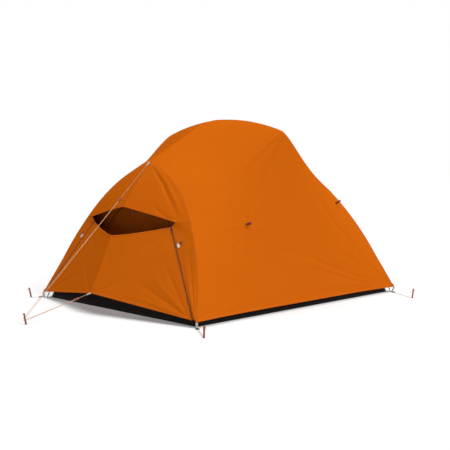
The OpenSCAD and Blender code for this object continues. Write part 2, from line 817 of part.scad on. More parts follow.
module toggle_loop() {
    color(black) translate(toggle_pin) {
        translate([-3, 0, 0]) rotate([0, 90, 0]) cylinder(h = 6, r = wire_r);
        for (x = [-3, 3]) translate([x, 0, -wire_r]) cylinder(h = 8, r = wire_r);
        translate([-5, -1, 5]) cube([10, 2, 2.2]);
    }
}

module awning_toggle() {
    color(black) translate(toggle_pin) difference() {
        union() {
            translate([-1.5, 0, 0]) rotate([0, 90, 0]) cylinder(h = 3, r = 2.4);
            translate([-1.5, -1.5, -5]) cube([3, 3, 4]);
            translate([0, 0, -4 - toggle_l]) cylinder(h = toggle_l, r = 3.4);
        }
        translate([-5, 0, 0]) rotate([0, 90, 0]) cylinder(h = 10, r = wire_r + pull_gap);
    }
}

// Gusset below each end of the awning, held down to the wing by a stud and a hook
tie_low = awning_row - 2.3;
tie_high = awning_row - 1;
tie_s = 1 - 1 / wing_cols;
tie_a = wing_point(tie_low, 1);
tie_b = wing_point(tie_high, 1);
tie_c = wing_point(tie_high, tie_s);
tie_d = wing_point(tie_low, tie_s);
tie_up = unit(tie_b - tie_a);
tie_out = let (n = unit(cross(tie_b - tie_d, tie_c - tie_a))) n * zip_out > 0 ? n : -n;
tie_lift = 1.3;
tie_t = 1.6;
tie_from = (tie_a + tie_b + tie_c + tie_d) / 4 + tie_out * tie_lift;

module on_tie() {
    up = unit(tie_up - tie_out * (tie_up * tie_out));
    placed(tie_from, cross(up, tie_out), up, tie_out) children();
}

module door_tie() {
    on_tie() linear_extrude(tie_t, center = true)
        polygon([[-4, 70], [4, 70], [34, -42], [30, -54], [9, -72], [6, -84], [-14, -84], [-15, -44]]);
}

module door_ties() color(orange) both_ends() both_sides() door_tie();

module oblong(r, l) {
    for (y = [-1, 1]) translate([0, y * (l - r)]) circle(r);
    square([2 * r, 2 * (l - r)], center = true);
}

module door_tie_disc() {
    on_tie() translate([-5, -66, tie_t / 2 + fit]) {
        linear_extrude(4) oblong(8.5, 16);
        translate([0, 0, 4]) linear_extrude(1.5) oblong(6.5, 14);
    }
}

module door_tie_discs() color(white) both_ends() both_sides() door_tie_disc();

// Flat hook beside each stud, its point towards the leg
module door_tie_hook() {
    on_tie() translate([0, 0, tie_t / 2 + fit]) {
        linear_extrude(2.4) polygon([[5, -48], [31, -50], [7, -70]]);
        translate([10, -55, 2.4]) cylinder(h = 1.6, r = 3.4);
    }
}

module door_tie_hooks() color(black) both_ends() both_sides() door_tie_hook();

// ---- corners, pegs and cords ----

// Pole foot and peg place at each corner
corners = [[half_w, -half_d, 0], [half_w, half_d, 0], [-half_w, -half_d, 0], [-half_w, half_d, 0]];
peg_spots = [[1098, -1232, 0], [1152, 900, 0], [-925, -1150, 0], [-925, 1150, 0]];

// A peg with three flanges, a hook notch and a hole for its pull cord
eye_x = 3.3;
eye_z = peg_h - 6;

function peg_axis(h) = stake + [0, -h * sin(peg_lean), h * cos(peg_lean)];

module peg(lean_a) {
    flange = 2;
    difference() {
        rotate([0, lean_a, 0]) translate([0, 0, -20]) difference() {
            linear_extrude(peg_h + 20) union() {
                for (a = [0, 120, 240]) rotate(a) translate([0, -flange / 2]) square([peg_w / 2, flange]);
                circle(flange);
            }
            translate([flange + 1.4, -10, peg_h + 20 - 22]) rotate([0, -25, 0]) cube([peg_w, 20, 5]);
            translate([eye_x, 0, eye_z + 20]) rotate([90, 0, 0]) cylinder(h = 20, r = 1.6, center = true);
        }
        translate([-50, -50, -60]) cube([100, 100, 60]);
    }
}

module peg_place(i) {
    d = peg_spots[i] - corners[i];
    translate(peg_spots[i]) rotate([0, 0, atan2(d.y, d.x)]) children();
}

module corner_pegs() color(red) for (i = [0:3]) peg_place(i) peg(peg_lean);

module peg_pulls() {
    r = 9;
    color("#e8641b") for (i = [0:3]) peg_place(i) rotate([0, peg_lean, 0])
        translate([eye_x, 0, eye_z]) rotate([0, 50, 0]) translate([r, 0, 0])
            rotate_extrude($fn = 24) translate([r, 0]) circle(1.1, $fn = 13);
}

// Webbing from the floor's corner under the pole's foot to the peg, lying on the ground
module corner_strap(i) {
    a = corners[i];
    d = peg_spots[i] - a;
    tub = [half_w - tub_inset + fit, half_d - tub_inset + fit];
    linear_extrude(web_t) difference() {
        union() {
            translate([a.x, a.y]) {
                rotate(atan2(d.y, d.x)) translate([0, -web_w / 2]) square([norm(d) - 1, web_w]);
                rotate(atan2(-a.y, -a.x)) translate([0, -web_w / 2]) square([2 * tub_inset, web_w]);
                circle(13);
            }
        }
        translate(-tub) square(2 * tub);
        translate([peg_spots[i].x, peg_spots[i].y]) circle(peg_w / 2 + 0.8);
    }
}

module corner_straps() color(white) for (i = [0:3]) corner_strap(i);

// Ladder buckles on the straps
buckle_at = 52;

module buckle() {
    w = web_w + 7;
    l = 24;
    translate([0, 0, web_t + fit]) difference() {
        translate([-l / 2, -w / 2, 0]) cube([l, w, 4]);
        for (x = [-l / 2 + 3, 1.5]) translate([x, -web_w / 2, -1]) cube([l / 2 - 4.5, web_w, 7]);
    }
}

module corner_buckles() {
    color(black) for (i = [0:3]) let (d = peg_spots[i] - corners[i])
        translate(corners[i]) rotate([0, 0, atan2(d.y, d.x)])
            translate([buckle_at, 0, 0]) buckle();
}

// Webbing that ties each corner of the fly down to the strap
module fly_corner_web(i) {
    a = corners[i];
    hem = arch_line(leg_at(hem_h)) + [2, -2, -1.2];
    top = [sign(a.x) * hem.x, -sign(a.y) * hem.y, hem.z];
    low = a + unit(peg_spots[i] - a) * 26 + [0, 0, web_t + 1];
    along_line(top, low - top, cross(low - top, [0, 0, 1])) linear_extrude(norm(low - top))
        square([web_w, web_t], center = true);
}

module fly_corner_webs() color(white) for (i = [0:3]) fly_corner_web(i);

// A round cord swept along its route, as one closed tube; near is never along the route
module cord(route, r, sides = 8, near = [1, 0, 0]) {
    n = len(route);
    function way(i) = unit(route[min(i + 1, n - 1)] - route[max(i - 1, 0)]);
    pts = [for (i = [0:n - 1]) let (z = way(i), x = unit(near - z * (near * z)), y = cross(z, x))
        each [for (s = [0:sides - 1]) route[i] + (x * cos(360 * s / sides) + y * sin(360 * s / sides)) * r]];
    polyhedron(points = pts, faces = concat(
        [[for (s = [0:sides - 1]) s]],
        [for (i = [0:n - 2], s = [0:sides - 1]) let (t = (s + 1) % sides)
            [i * sides + s, (i + 1) * sides + s, (i + 1) * sides + t, i * sides + t]],
        [[for (s = [sides - 1:-1:0]) (n - 1) * sides + s]]));
}

guy_split = 330;          // along the guyline, where the tensioner doubles it
hem_split = 70;
strand = 5;               // distance between the two strands, across the tent
turn_w = 9;               // half the width of the cord's turn around a peg
turn_l = 10.5;

// A line that runs down to a peg, round it, and back up beside itself to the tensioner
function doubled(from, way, turn, split, beside) = concat(
    [from, from + way * split, from + way * (split + beside)],
    [for (a = [180:-30:0]) turn + [turn_w * cos(a), 0, 0] + way * turn_l * sin(a)],
    [from + way * (split + beside) + [strand, 0, 0], from + way * split + [strand, 0, 0]]);

guy_beside = 240;
hem_beside = 130;

module guyline() color(beige) cord(doubled(guy_from, guy_way, guy_turn, guy_split, guy_beside), cord_r, near = [0, 0.7, -0.7]);

module hem_cord() color(beige) cord(doubled(hem_from, hem_way, hem_turn, hem_split, hem_beside), cord_r, near = [0, 0, 1]);

// A three-hole bar that grips a doubled cord
module tensioner(p, way, len) {
    hole = cord_r + 0.4;
    along_line(p, way, [1, 0, 0]) difference() {
        hull() {
            translate([-hole - 3, -3.5, 0]) cube([strand + 2 * hole + 6, 7, len]);
            translate([-hole - 5, -2, 4]) cube([strand + 2 * hole + 10, 4, len - 8]);
        }
        for (x = [0, strand]) translate([x, 0, -1]) cylinder(h = len + 2, r = hole);
    }
}

tensioner_l = 30;

module guyline_tensioner() color(red) tensioner(guy_from + guy_way * (guy_split - 3), guy_way, tensioner_l);

module hem_tensioner() color(red)
    tensioner(hem_from + hem_way * (hem_split - 3), hem_way, tensioner_l);

module front_peg() color(red) translate(stake) rotate([0, 0, -90]) peg(peg_lean);

groundsheet();
inner_canopy();
inner_wall();  // inner_wall_front
rear() inner_wall();  // inner_wall_rear
inner_door();  // inner_door_front
rear() inner_door();  // inner_door_rear
inner_zips();
spine_pole();
ridge_pole();
color(alloy) leg_pole();  // leg_front_right
color(alloy) left() leg_pole();  // leg_front_left
color(alloy) rear() leg_pole();  // leg_rear_right
color(alloy) rear() left() leg_pole();  // leg_rear_left
pole_cords();
hub();  // hub_front
rear() hub();  // hub_rear
ridge_swivel();
ridge_caps();
pole_tips();
foot_eyelets();
pole_joints();
pole_clips();
fly_canopy();
wing();  // fly_wing_front_right
left() wing();  // fly_wing_front_left
rear() wing();  // fly_wing_rear_right
rear() left() wing();  // fly_wing_rear_left
awning();  // awning_front
rear() awning();  // awning_rear
door();  // door_front
rear() door();  // door_rear
zip_tracks();  // zip_tracks_front
rear() zip_tracks();  // zip_tracks_rear
slider();  // slider_front_right
left() slider();  // slider_front_left
rear() slider();  // slider_rear_right
rear() left() slider();  // slider_rear_left
pull();  // pull_front_right
left() pull();  // pull_front_left
rear() pull();  // pull_rear_right
rear() left() pull();  // pull_rear_left
fly_ties();
side_loops();
guy_loops();
hem_loops();
toggle_loop();
awning_toggle();
door_ties();
door_tie_discs();
door_tie_hooks();
corner_straps();
corner_buckles();
fly_corner_webs();
corner_pegs();
peg_pulls();
guyline();
guyline_tensioner();
hem_cord();
hem_tensioner();
front_peg();
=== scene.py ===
import bpy, math
import numpy as np
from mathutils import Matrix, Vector


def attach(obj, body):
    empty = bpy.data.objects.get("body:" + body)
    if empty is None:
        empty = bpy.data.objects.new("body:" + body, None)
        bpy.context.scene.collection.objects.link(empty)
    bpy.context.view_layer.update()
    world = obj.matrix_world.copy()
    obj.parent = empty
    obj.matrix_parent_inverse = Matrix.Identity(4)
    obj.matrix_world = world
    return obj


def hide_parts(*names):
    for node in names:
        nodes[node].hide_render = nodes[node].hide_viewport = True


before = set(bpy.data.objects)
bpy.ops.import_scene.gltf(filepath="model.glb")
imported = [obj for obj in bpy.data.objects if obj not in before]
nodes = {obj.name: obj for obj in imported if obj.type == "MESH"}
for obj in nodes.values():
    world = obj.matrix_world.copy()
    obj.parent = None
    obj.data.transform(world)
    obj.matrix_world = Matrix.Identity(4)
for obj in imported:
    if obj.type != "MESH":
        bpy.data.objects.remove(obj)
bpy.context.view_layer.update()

# the view stands low, off the front right corner; turn and dip are in degrees
camera = {"place": (4.5376, -4.4591, 1.0), "turn": 45.33, "dip": 4.08, "lens": 65.26, "farClip": 200}


def addCamera():
    data = bpy.data.cameras.new("camera")
    data.lens = camera["lens"]
    data.clip_end = camera["farClip"]
    made = bpy.data.objects.new("camera", data)
    made.location = camera["place"]
    made.rotation_euler = (math.radians(90 - camera["dip"]), 0, math.radians(camera["turn"]))
    bpy.context.scene.collection.objects.link(made)
    bpy.context.scene.camera = made


# each lamp is its energy, its softness in degrees and the way that it stands from the tent
light = {"window": (1.37, 24, (0.716, 0.073, 0.694)), "ceiling": (2.0, 60, (0, 0, 1)), "sky": 0.12,
    "floorGlow": 0.2}


def addLamp(name):
    energy, softness, way = light[name]
    data = bpy.data.lights.new(name, "SUN")
    data.energy = energy
    data.angle = math.radians(softness)
    made = bpy.data.objects.new(name, data)
    made.rotation_euler = Vector(way).to_track_quat("Z", "Y").to_euler()
    bpy.context.scene.collection.objects.link(made)


def addLight():
    addLamp("window")
    addLamp("ceiling")
    world = bpy.data.worlds.new("studio")
    bpy.context.scene.world = world
    world.use_nodes = True
    tree = world.node_tree
    back = tree.nodes["Background"]
    path = tree.nodes.new("ShaderNodeLightPath")
    seen = tree.nodes.new("ShaderNodeMath")
    seen.operation = "MAXIMUM"
    more = tree.nodes.new("ShaderNodeMath")
    more.operation = "MAXIMUM"
    strength = tree.nodes.new("ShaderNodeMapRange")
    strength.inputs["To Min"].default_value = light["sky"]
    tree.links.new(path.outputs["Is Camera Ray"], seen.inputs[0])
    tree.links.new(path.outputs["Is Glossy Ray"], seen.inputs[1])
    tree.links.new(seen.outputs[0], more.inputs[0])
    tree.links.new(path.outputs["Is Transmission Ray"], more.inputs[1])
    tree.links.new(more.outputs[0], strength.inputs["Value"])
    tree.links.new(strength.outputs[0], back.inputs["Strength"])
    back.inputs["Color"].default_value = (1, 1, 1, 1)


paper = {"half": 40, "tone": (0.8, 0.8, 0.8, 1), "rough": 0.9}


def addFloor():
    mesh = bpy.data.meshes.new("studioFloor")
    half = paper["half"]
    corners = [(-half, -half, 0), (half, -half, 0), (half, half, 0), (-half, half, 0)]
    mesh.from_pydata(corners, [], [(0, 1, 2, 3)])
    made = bpy.data.objects.new("studioFloor", mesh)
    bpy.context.scene.collection.objects.link(made)
    finish = bpy.data.materials.new("studioPaper")
    finish.use_nodes = True
    tree = finish.node_tree
    shader = tree.nodes["Principled BSDF"]
    shader.inputs["Base Color"].default_value = paper["tone"]
    shader.inputs["Roughness"].default_value = paper["rough"]
    shader.inputs["Specular IOR Level"].default_value = 0
    shader.inputs["Emission Color"].default_value = (1, 1, 1, 1)
    path = tree.nodes.new("ShaderNodeLightPath")
    glow = tree.nodes.new("ShaderNodeMath")
    glow.operation = "MULTIPLY"
    glow.inputs[1].default_value = light["floorGlow"]
    tree.links.new(path.outputs["Is Camera Ray"], glow.inputs[0])
    tree.links.new(glow.outputs[0], shader.inputs["Emission Strength"])
    mesh.materials.append(finish)


bpy.context.scene.view_settings.view_transform = "Standard"
addCamera()
addLight()
addFloor()
print("camera, light and floor")


def newGroup(name, takes, gives):
    group = bpy.data.node_groups.new(name, "ShaderNodeTree")
    for label, kind, value in takes:
        socket = group.interface.new_socket(label, in_out="INPUT", socket_type=kind)
        if value is not None:
            socket.default_value = value
    for label, kind in gives:
        group.interface.new_socket(label, in_out="OUTPUT", socket_type=kind)
    return group, group.nodes.new("NodeGroupInput"), group.nodes.new("NodeGroupOutput")


def math2(tree, operation, a, b=None, clamp=False):
    node = tree.nodes.new("ShaderNodeMath")
    node.operation = operation
    node.use_clamp = clamp
    for i, value in enumerate((a, b)):
        if value is None:
            continue
        if isinstance(value, (int, float)):
            node.inputs[i].default_value = value
        else:
            tree.links.new(value, node.inputs[i])
    return node.outputs[0]


def blendColour(tree, factor, a, b):
    node = tree.nodes.new("ShaderNodeMix")
    node.data_type = "RGBA"
    for socket, value in ((node.inputs[0], factor), (node.inputs[6], a), (node.inputs[7], b)):
        if isinstance(value, (tuple, float, int)):
            socket.default_value = value
        else:
            tree.links.new(value, socket)
    return node.outputs[2]


def noiseOf(tree, vector, scale, detail=3, rough=0.55):
    node = tree.nodes.new("ShaderNodeTexNoise")
    node.inputs["Scale"].default_value = scale
    node.inputs["Detail"].default_value = detail
    node.inputs["Roughness"].default_value = rough
    tree.links.new(vector, node.inputs["Vector"])
    return node.outputs["Fac"]


def splitVector(group, enter):
    split = group.nodes.new("ShaderNodeSeparateXYZ")
    group.links.new(enter.outputs["Vector"], split.inputs[0])
    return split.outputs


surfaceGives = [("Color", "NodeSocketColor"), ("Height", "NodeSocketFloat"), ("Roughness", "NodeSocketFloat")]
weave = {"turn": 6.2832, "ribShare": 0.14, "ribShade": 0.09, "patchScale": 3.2, "patchFrom": 0.35,
    "threadHigh": 0.3, "rough": 0.42, "roughSpan": 0.14}


def makeClothGroup():
    # fine threads, a stronger thread every few millimetres, and slow patches of shade
    takes = [("Vector", "NodeSocketVector", None), ("Color", "NodeSocketColor", (0.7, 0.15, 0.02, 1)),
        ("Shade", "NodeSocketColor", (0.5, 0.1, 0.01, 1)), ("Thread", "NodeSocketFloat", 0.0012),
        ("Rib", "NodeSocketFloat", 0.006), ("Patches", "NodeSocketFloat", 0.35)]
    group, enter, leave = newGroup("ripstopCloth", takes, surfaceGives)
    split = splitVector(group, enter)
    ribs, threads = [], []
    for axis in (0, 1):
        cell = math2(group, "FRACT", math2(group, "DIVIDE", split[axis], enter.outputs["Rib"]))
        ribs.append(math2(group, "LESS_THAN", cell, weave["ribShare"]))
        angle = math2(group, "MULTIPLY", split[axis], weave["turn"])
        threads.append(math2(group, "SINE", math2(group, "DIVIDE", angle, enter.outputs["Thread"])))
    rib = math2(group, "MAXIMUM", ribs[0], ribs[1])
    cross = math2(group, "MULTIPLY", threads[0], threads[1])
    patches = noiseOf(group, enter.outputs["Vector"], weave["patchScale"], 4)
    shade = math2(group, "SUBTRACT", patches, weave["patchFrom"])
    shade = math2(group, "MULTIPLY", shade, enter.outputs["Patches"], True)
    shade = math2(group, "ADD", shade, math2(group, "MULTIPLY", rib, weave["ribShade"]), True)
    colour = blendColour(group, shade, enter.outputs["Color"], enter.outputs["Shade"])
    group.links.new(colour, leave.inputs["Color"])
    height = math2(group, "ADD", math2(group, "MULTIPLY", cross, weave["threadHigh"]), rib)
    group.links.new(height, leave.inputs["Height"])
    rough = math2(group, "ADD", math2(group, "MULTIPLY", patches, weave["roughSpan"]), weave["rough"])
    group.links.new(rough, leave.inputs["Roughness"])
    return group


stitches = {"step": 0.0042, "dash": 0.66, "rows": (0.22, 0.78), "half": 0.045}


def makeStitchGroup():
    # two rows of dashes along a seam; X runs along it and Y across, both in metres
    takes = [("Vector", "NodeSocketVector", None), ("Width", "NodeSocketFloat", 0.012)]
    group, enter, leave = newGroup("stitchRows", takes, [("Mask", "NodeSocketFloat")])
    split = splitVector(group, enter)
    cell = math2(group, "FRACT", math2(group, "DIVIDE", split[0], stitches["step"]))
    dash = math2(group, "LESS_THAN", cell, stitches["dash"])
    share = math2(group, "DIVIDE", split[1], enter.outputs["Width"])
    rows = []
    for at in stitches["rows"]:
        away = math2(group, "ABSOLUTE", math2(group, "SUBTRACT", share, at))
        rows.append(math2(group, "LESS_THAN", away, stitches["half"]))
    mask = math2(group, "MULTIPLY", dash, math2(group, "MAXIMUM", rows[0], rows[1]))
    group.links.new(mask, leave.inputs["Mask"])
    return group


grainAndWear = {"toneScale": 24, "edgeFrom": 0.52, "edgeGain": 9, "toneFrom": 0.45, "toneShade": 0.25,
    "roughSpan": 0.15}


def makeWearGroup():
    # moulded or anodised surfaces: fine grain, slow tone, and paler edges
    takes = [("Vector", "NodeSocketVector", None), ("Color", "NodeSocketColor", (0.1, 0.1, 0.1, 1)),
        ("Worn", "NodeSocketColor", (0.3, 0.3, 0.3, 1)), ("Grain", "NodeSocketFloat", 900.0),
        ("Wear", "NodeSocketFloat", 0.5), ("Roughness", "NodeSocketFloat", 0.5)]
    group, enter, leave = newGroup("grainAndWear", takes, surfaceGives)
    grain = group.nodes.new("ShaderNodeTexNoise")
    group.links.new(enter.outputs["Vector"], grain.inputs["Vector"])
    group.links.new(enter.outputs["Grain"], grain.inputs["Scale"])
    tone = noiseOf(group, enter.outputs["Vector"], grainAndWear["toneScale"], 3)
    edge = group.nodes.new("ShaderNodeNewGeometry").outputs["Pointiness"]
    sharp = math2(group, "SUBTRACT", edge, grainAndWear["edgeFrom"])
    sharp = math2(group, "MULTIPLY", sharp, grainAndWear["edgeGain"], True)
    worn = math2(group, "MULTIPLY", sharp, math2(group, "MULTIPLY", tone, enter.outputs["Wear"]), True)
    slow = math2(group, "SUBTRACT", tone, grainAndWear["toneFrom"])
    worn = math2(group, "ADD", worn, math2(group, "MULTIPLY", slow, grainAndWear["toneShade"]), True)
    colour = blendColour(group, worn, enter.outputs["Color"], enter.outputs["Worn"])
    group.links.new(colour, leave.inputs["Color"])
    group.links.new(grain.outputs["Fac"], leave.inputs["Height"])
    rough = math2(group, "MULTIPLY", tone, grainAndWear["roughSpan"])
    rough = math2(group, "ADD", rough, enter.outputs["Roughness"])
    group.links.new(rough, leave.inputs["Roughness"])
    return group


wovenRibs = {"slantAcross": 0.8, "slantUp": 0.7, "toneScale": 60, "ribShade": 0.55, "toneShade": 0.5,
    "rough": 0.6, "roughSpan": 0.2}


def makeWebbingGroup():
    # flat webbing and braided cord: slanted ribs across, darker between them with painted shade in the grooves
    takes = [("Vector", "NodeSocketVector", None), ("Color", "NodeSocketColor", (0.8, 0.8, 0.8, 1)),
        ("Shade", "NodeSocketColor", (0.5, 0.5, 0.5, 1)), ("Rib", "NodeSocketFloat", 0.0016)]
    group, enter, leave = newGroup("wovenRibs", takes, surfaceGives)
    split = splitVector(group, enter)
    across = math2(group, "MULTIPLY", math2(group, "ABSOLUTE", split[1]), wovenRibs["slantAcross"])
    slant = math2(group, "ADD", split[0], across)
    slant = math2(group, "ADD", slant, math2(group, "MULTIPLY", split[2], wovenRibs["slantUp"]))
    angle = math2(group, "MULTIPLY", slant, weave["turn"])
    rib = math2(group, "SINE", math2(group, "DIVIDE", angle, enter.outputs["Rib"]))
    high = math2(group, "ADD", math2(group, "MULTIPLY", rib, 0.5), 0.5)
    tone = noiseOf(group, enter.outputs["Vector"], wovenRibs["toneScale"], 3)
    # painted shade: the colour darkens toward Shade in the grooves between the ribs, where the height is low;
    # the slow tone added next is random
    shade = math2(group, "MULTIPLY", math2(group, "SUBTRACT", 1.0, high), wovenRibs["ribShade"])
    slow = math2(group, "MULTIPLY", math2(group, "SUBTRACT", tone, 0.5), wovenRibs["toneShade"])
    shade = math2(group, "ADD", shade, slow, True)
    colour = blendColour(group, shade, enter.outputs["Color"], enter.outputs["Shade"])
    group.links.new(colour, leave.inputs["Color"])
    group.links.new(high, leave.inputs["Height"])
    rough = math2(group, "ADD", math2(group, "MULTIPLY", tone, wovenRibs["roughSpan"]), wovenRibs["rough"])
    group.links.new(rough, leave.inputs["Roughness"])
    return group


clothGroup = makeClothGroup()
stitchGroup = makeStitchGroup()
wearGroup = makeWearGroup()
webbingGroup = makeWebbingGroup()


def newMaterial(name):
    made = bpy.data.materials.new(name)
    made.use_nodes = True
    tree = made.node_tree
    return made, tree, tree.nodes["Principled BSDF"]


def placeGroup(tree, group, vector, **values):
    node = tree.nodes.new("ShaderNodeGroup")
    node.node_tree = group
    for label, value in values.items():
        node.inputs[label].default_value = value
    tree.links.new(vector, node.inputs["Vector"])
    return node


def finishSurface(tree, shader, node, bump, distance, colour=None):
    tree.links.new(colour or node.outputs["Color"], shader.inputs["Base Color"])
    tree.links.new(node.outputs["Roughness"], shader.inputs["Roughness"])
    lift = tree.nodes.new("ShaderNodeBump")
    lift.inputs["Strength"].default_value = bump
    lift.inputs["Distance"].default_value = distance
    tree.links.new(node.outputs["Height"], lift.inputs["Height"])
    tree.links.new(lift.outputs[0], shader.inputs["Normal"])


def coordinates(tree, kind):
    return tree.nodes.new("ShaderNodeTexCoord").outputs[kind]


# how strong each bump is, and how high in metres
bumps = {"cloth": (0.35, 0.0002), "webbing": (0.6, 0.0003), "solidHigh": 0.0002}
sheen = {"clothRough": 0.4, "webbing": 0.15}


def clothMaterial(name, s):
    made, tree, shader = newMaterial(name)
    where = coordinates(tree, "UV")
    node = placeGroup(tree, clothGroup, where, Color=(*s["colour"], 1), Shade=(*s["shade"], 1),
        Thread=s["thread"], Rib=s["rib"], Patches=s["patches"])
    colour = node.outputs["Color"]
    if "stitch" in s:
        rows = placeGroup(tree, stitchGroup, where, Width=s["seamWidth"])
        colour = blendColour(tree, rows.outputs["Mask"], colour, (*s["stitch"], 1))
    finishSurface(tree, shader, node, *bumps["cloth"], colour)
    shader.inputs["Sheen Weight"].default_value = s["sheen"]
    shader.inputs["Sheen Roughness"].default_value = sheen["clothRough"]
    shader.inputs["Sheen Tint"].default_value = (*s["sheenTint"], 1)
    shader.inputs["Specular IOR Level"].default_value = s["gloss"]
    return made


def solidMaterial(name, s):
    made, tree, shader = newMaterial(name)
    node = placeGroup(tree, wearGroup, coordinates(tree, "Object"), Color=(*s["colour"], 1),
        Worn=(*s["worn"], 1), Grain=s["grain"], Wear=s["wear"], Roughness=s["rough"])
    finishSurface(tree, shader, node, s["bump"], bumps["solidHigh"])
    shader.inputs["Metallic"].default_value = s.get("metal", 0)
    return made


def ribMaterial(name, s):
    made, tree, shader = newMaterial(name)
    node = placeGroup(tree, webbingGroup, coordinates(tree, s.get("by", "Object")),
        Color=(*s["colour"], 1), Shade=(*s["shade"], 1), Rib=s["rib"])
    finishSurface(tree, shader, node, *bumps["webbing"])
    shader.inputs["Sheen Weight"].default_value = sheen["webbing"]
    return made


flyCloth = {"colour": (0.675, 0.139, 0.0050), "shade": (0.58, 0.106, 0.003), "thread": 0.0012, "rib": 0.006,
    "patches": 0.3, "sheen": 0.0, "sheenTint": (1, 0.6, 0.3), "gloss": 0.0}
floorCloth = {"colour": (0.007, 0.004, 0.003), "shade": (0.013, 0.008, 0.007), "thread": 0.0014, "rib": 0.007,
    "patches": 0.5, "sheen": 0.0, "sheenTint": (1, 1, 1), "gloss": 0.12}
# painted light: the inner mesh and its door are coloured the bright orange-brown of light shining through the
# fly, not a colour of their own
meshClothPaintedFlyLight = {"colour": (0.42, 0.088, 0.003), "shade": (0.33, 0.068, 0.0022), "thread": 0.0022, "rib": 0.0032,
    "patches": 0.5, "sheen": 0.0, "sheenTint": (1, 1, 1), "gloss": 0.03}
doorClothPaintedFlyLight = {**meshClothPaintedFlyLight, "colour": (0.45, 0.098, 0.003)}
seamCloth = {**flyCloth, "colour": (0.69, 0.148, 0.010), "stitch": (0.42, 0.09, 0.01), "seamWidth": 0.012}
blackPlastic = {"colour": (0.014, 0.013, 0.013), "worn": (0.07, 0.065, 0.06), "grain": 1200, "wear": 0.5,
    "rough": 0.4, "bump": 0.15}
whitePlastic = {"colour": (0.82, 0.80, 0.76), "worn": (0.6, 0.58, 0.54), "grain": 900, "wear": 0.4,
    "rough": 0.35, "bump": 0.1}
redPlastic = {"colour": (0.28, 0.022, 0.014), "worn": (0.45, 0.09, 0.06), "grain": 1100, "wear": 0.5,
    "rough": 0.4, "bump": 0.15}
redMetal = {"colour": (0.26, 0.018, 0.012), "worn": (0.5, 0.3, 0.28), "grain": 1600, "wear": 0.6, "rough": 0.3,
    "bump": 0.1, "metal": 0.6}
poleMetal = {"colour": (0.42, 0.43, 0.45), "worn": (0.6, 0.6, 0.6), "grain": 1500, "wear": 0.5, "rough": 0.26,
    "bump": 0.1, "metal": 0.9}
zipPlastic = {"colour": (0.22, 0.060, 0.012), "worn": (0.10, 0.05, 0.03), "grain": 1300, "wear": 0.4,
    "rough": 0.45, "bump": 0.1}
whiteWeb = {"colour": (0.78, 0.75, 0.68), "shade": (0.42, 0.39, 0.34), "rib": 0.0016}
blackWeb = {"colour": (0.03, 0.027, 0.025), "shade": (0.008, 0.007, 0.007), "rib": 0.0016}
redWeb = {"colour": (0.20, 0.016, 0.010), "shade": (0.07, 0.006, 0.004), "rib": 0.0016}
beigeCord = {"colour": (0.66, 0.40, 0.19), "shade": (0.42, 0.25, 0.13), "rib": 0.0014, "by": "UV"}
orangeCord = {"colour": (0.75, 0.14, 0.02), "shade": (0.4, 0.06, 0.01), "rib": 0.001}
elasticCord = {"colour": (0.7, 0.7, 0.68), "shade": (0.4, 0.4, 0.4), "rib": 0.001}

flyOrange = clothMaterial("flyOrange", flyCloth)
seamOrange = clothMaterial("seamOrange", seamCloth)
tubBlack = clothMaterial("tubBlack", floorCloth)
meshPaintedFlyLight = clothMaterial("meshPaintedFlyLight", meshClothPaintedFlyLight)
doorPaintedFlyLight = clothMaterial("doorPaintedFlyLight", doorClothPaintedFlyLight)
blackMoulding = solidMaterial("blackMoulding", blackPlastic)
whiteMoulding = solidMaterial("whiteMoulding", whitePlastic)
redMoulding = solidMaterial("redMoulding", redPlastic)
redAnodised = solidMaterial("redAnodised", redMetal)
poleAlloy = solidMaterial("poleAlloy", poleMetal)
zipMoulding = solidMaterial("zipMoulding", zipPlastic)
whiteWebbing = ribMaterial("whiteWebbing", whiteWeb)
blackWebbing = ribMaterial("blackWebbing", blackWeb)
redWebbing = ribMaterial("redWebbing", redWeb)
beigeBraid = ribMaterial("beigeBraid", beigeCord)
orangeBraid = ribMaterial("orangeBraid", orangeCord)
elasticBraid = ribMaterial("elasticBraid", elasticCord)
print("materials")


# the tent's driving sizes, in metres; the powers bend the cloth between the poles
shape = {"halfWidth": 0.845, "halfDepth": 1.06, "apex": 1.35, "hubHeight": 1.024, "hubReach": 0.718,
    "spineArch": 1.23, "ridgeHalf": 0.612, "ridgeDrop": 0.102, "legBulge": 0.190, "legPeak": 0.58,
    "flyOut": 0.0125, "hem": 0.045, "sideShare": 0.64, "sideSag": 0.014, "tipOut": 0.192, "tipHigh": 0.145,
    "awningOut": 0.240, "awningDrop": 0.303, "doorSag": 0.072, "flyRows": 28, "awningRow": 7, "roofHang": 0.12,
    "cornerPull": 0.034, "pullShare": 0.2, "pullPower": 1.5, "pullFade": 4, "rowPower": 1.05,
    "hangPower": 1.5, "fallTop": 1.1, "fallBase": 1.5, "bendTop": 1.12, "bendBase": 2.6}
halfWidth, halfDepth = shape["halfWidth"], shape["halfDepth"]
apex, hubHeight, hubReach = shape["apex"], shape["hubHeight"], shape["hubReach"]
ridgeHalf, flyOut, hem = shape["ridgeHalf"], shape["flyOut"], shape["hem"]

lean = math.atan((halfDepth - hubReach) / hubHeight)
archHeight = math.hypot(halfDepth - hubReach, hubHeight)
chord = math.hypot(halfWidth, archHeight)
along = (-halfWidth / chord, archHeight / chord)
bow = (along[1], -along[0])
peak = shape["legPeak"] * chord
lowRadius = (peak ** 2 + shape["legBulge"] ** 2) / (2 * shape["legBulge"])
topRadius = ((chord - peak) ** 2 + shape["legBulge"] ** 2) / (2 * shape["legBulge"])
ridgeRadius = (ridgeHalf ** 2 + shape["ridgeDrop"] ** 2) / (2 * shape["ridgeDrop"])
spineSlope = shape["spineArch"] * math.atan((apex - hubHeight) / hubReach)
crownRadius = (hubReach * math.tan(spineSlope) - (apex - hubHeight)) / (
    math.sin(spineSlope) * math.tan(spineSlope) - 1 + math.cos(spineSlope))


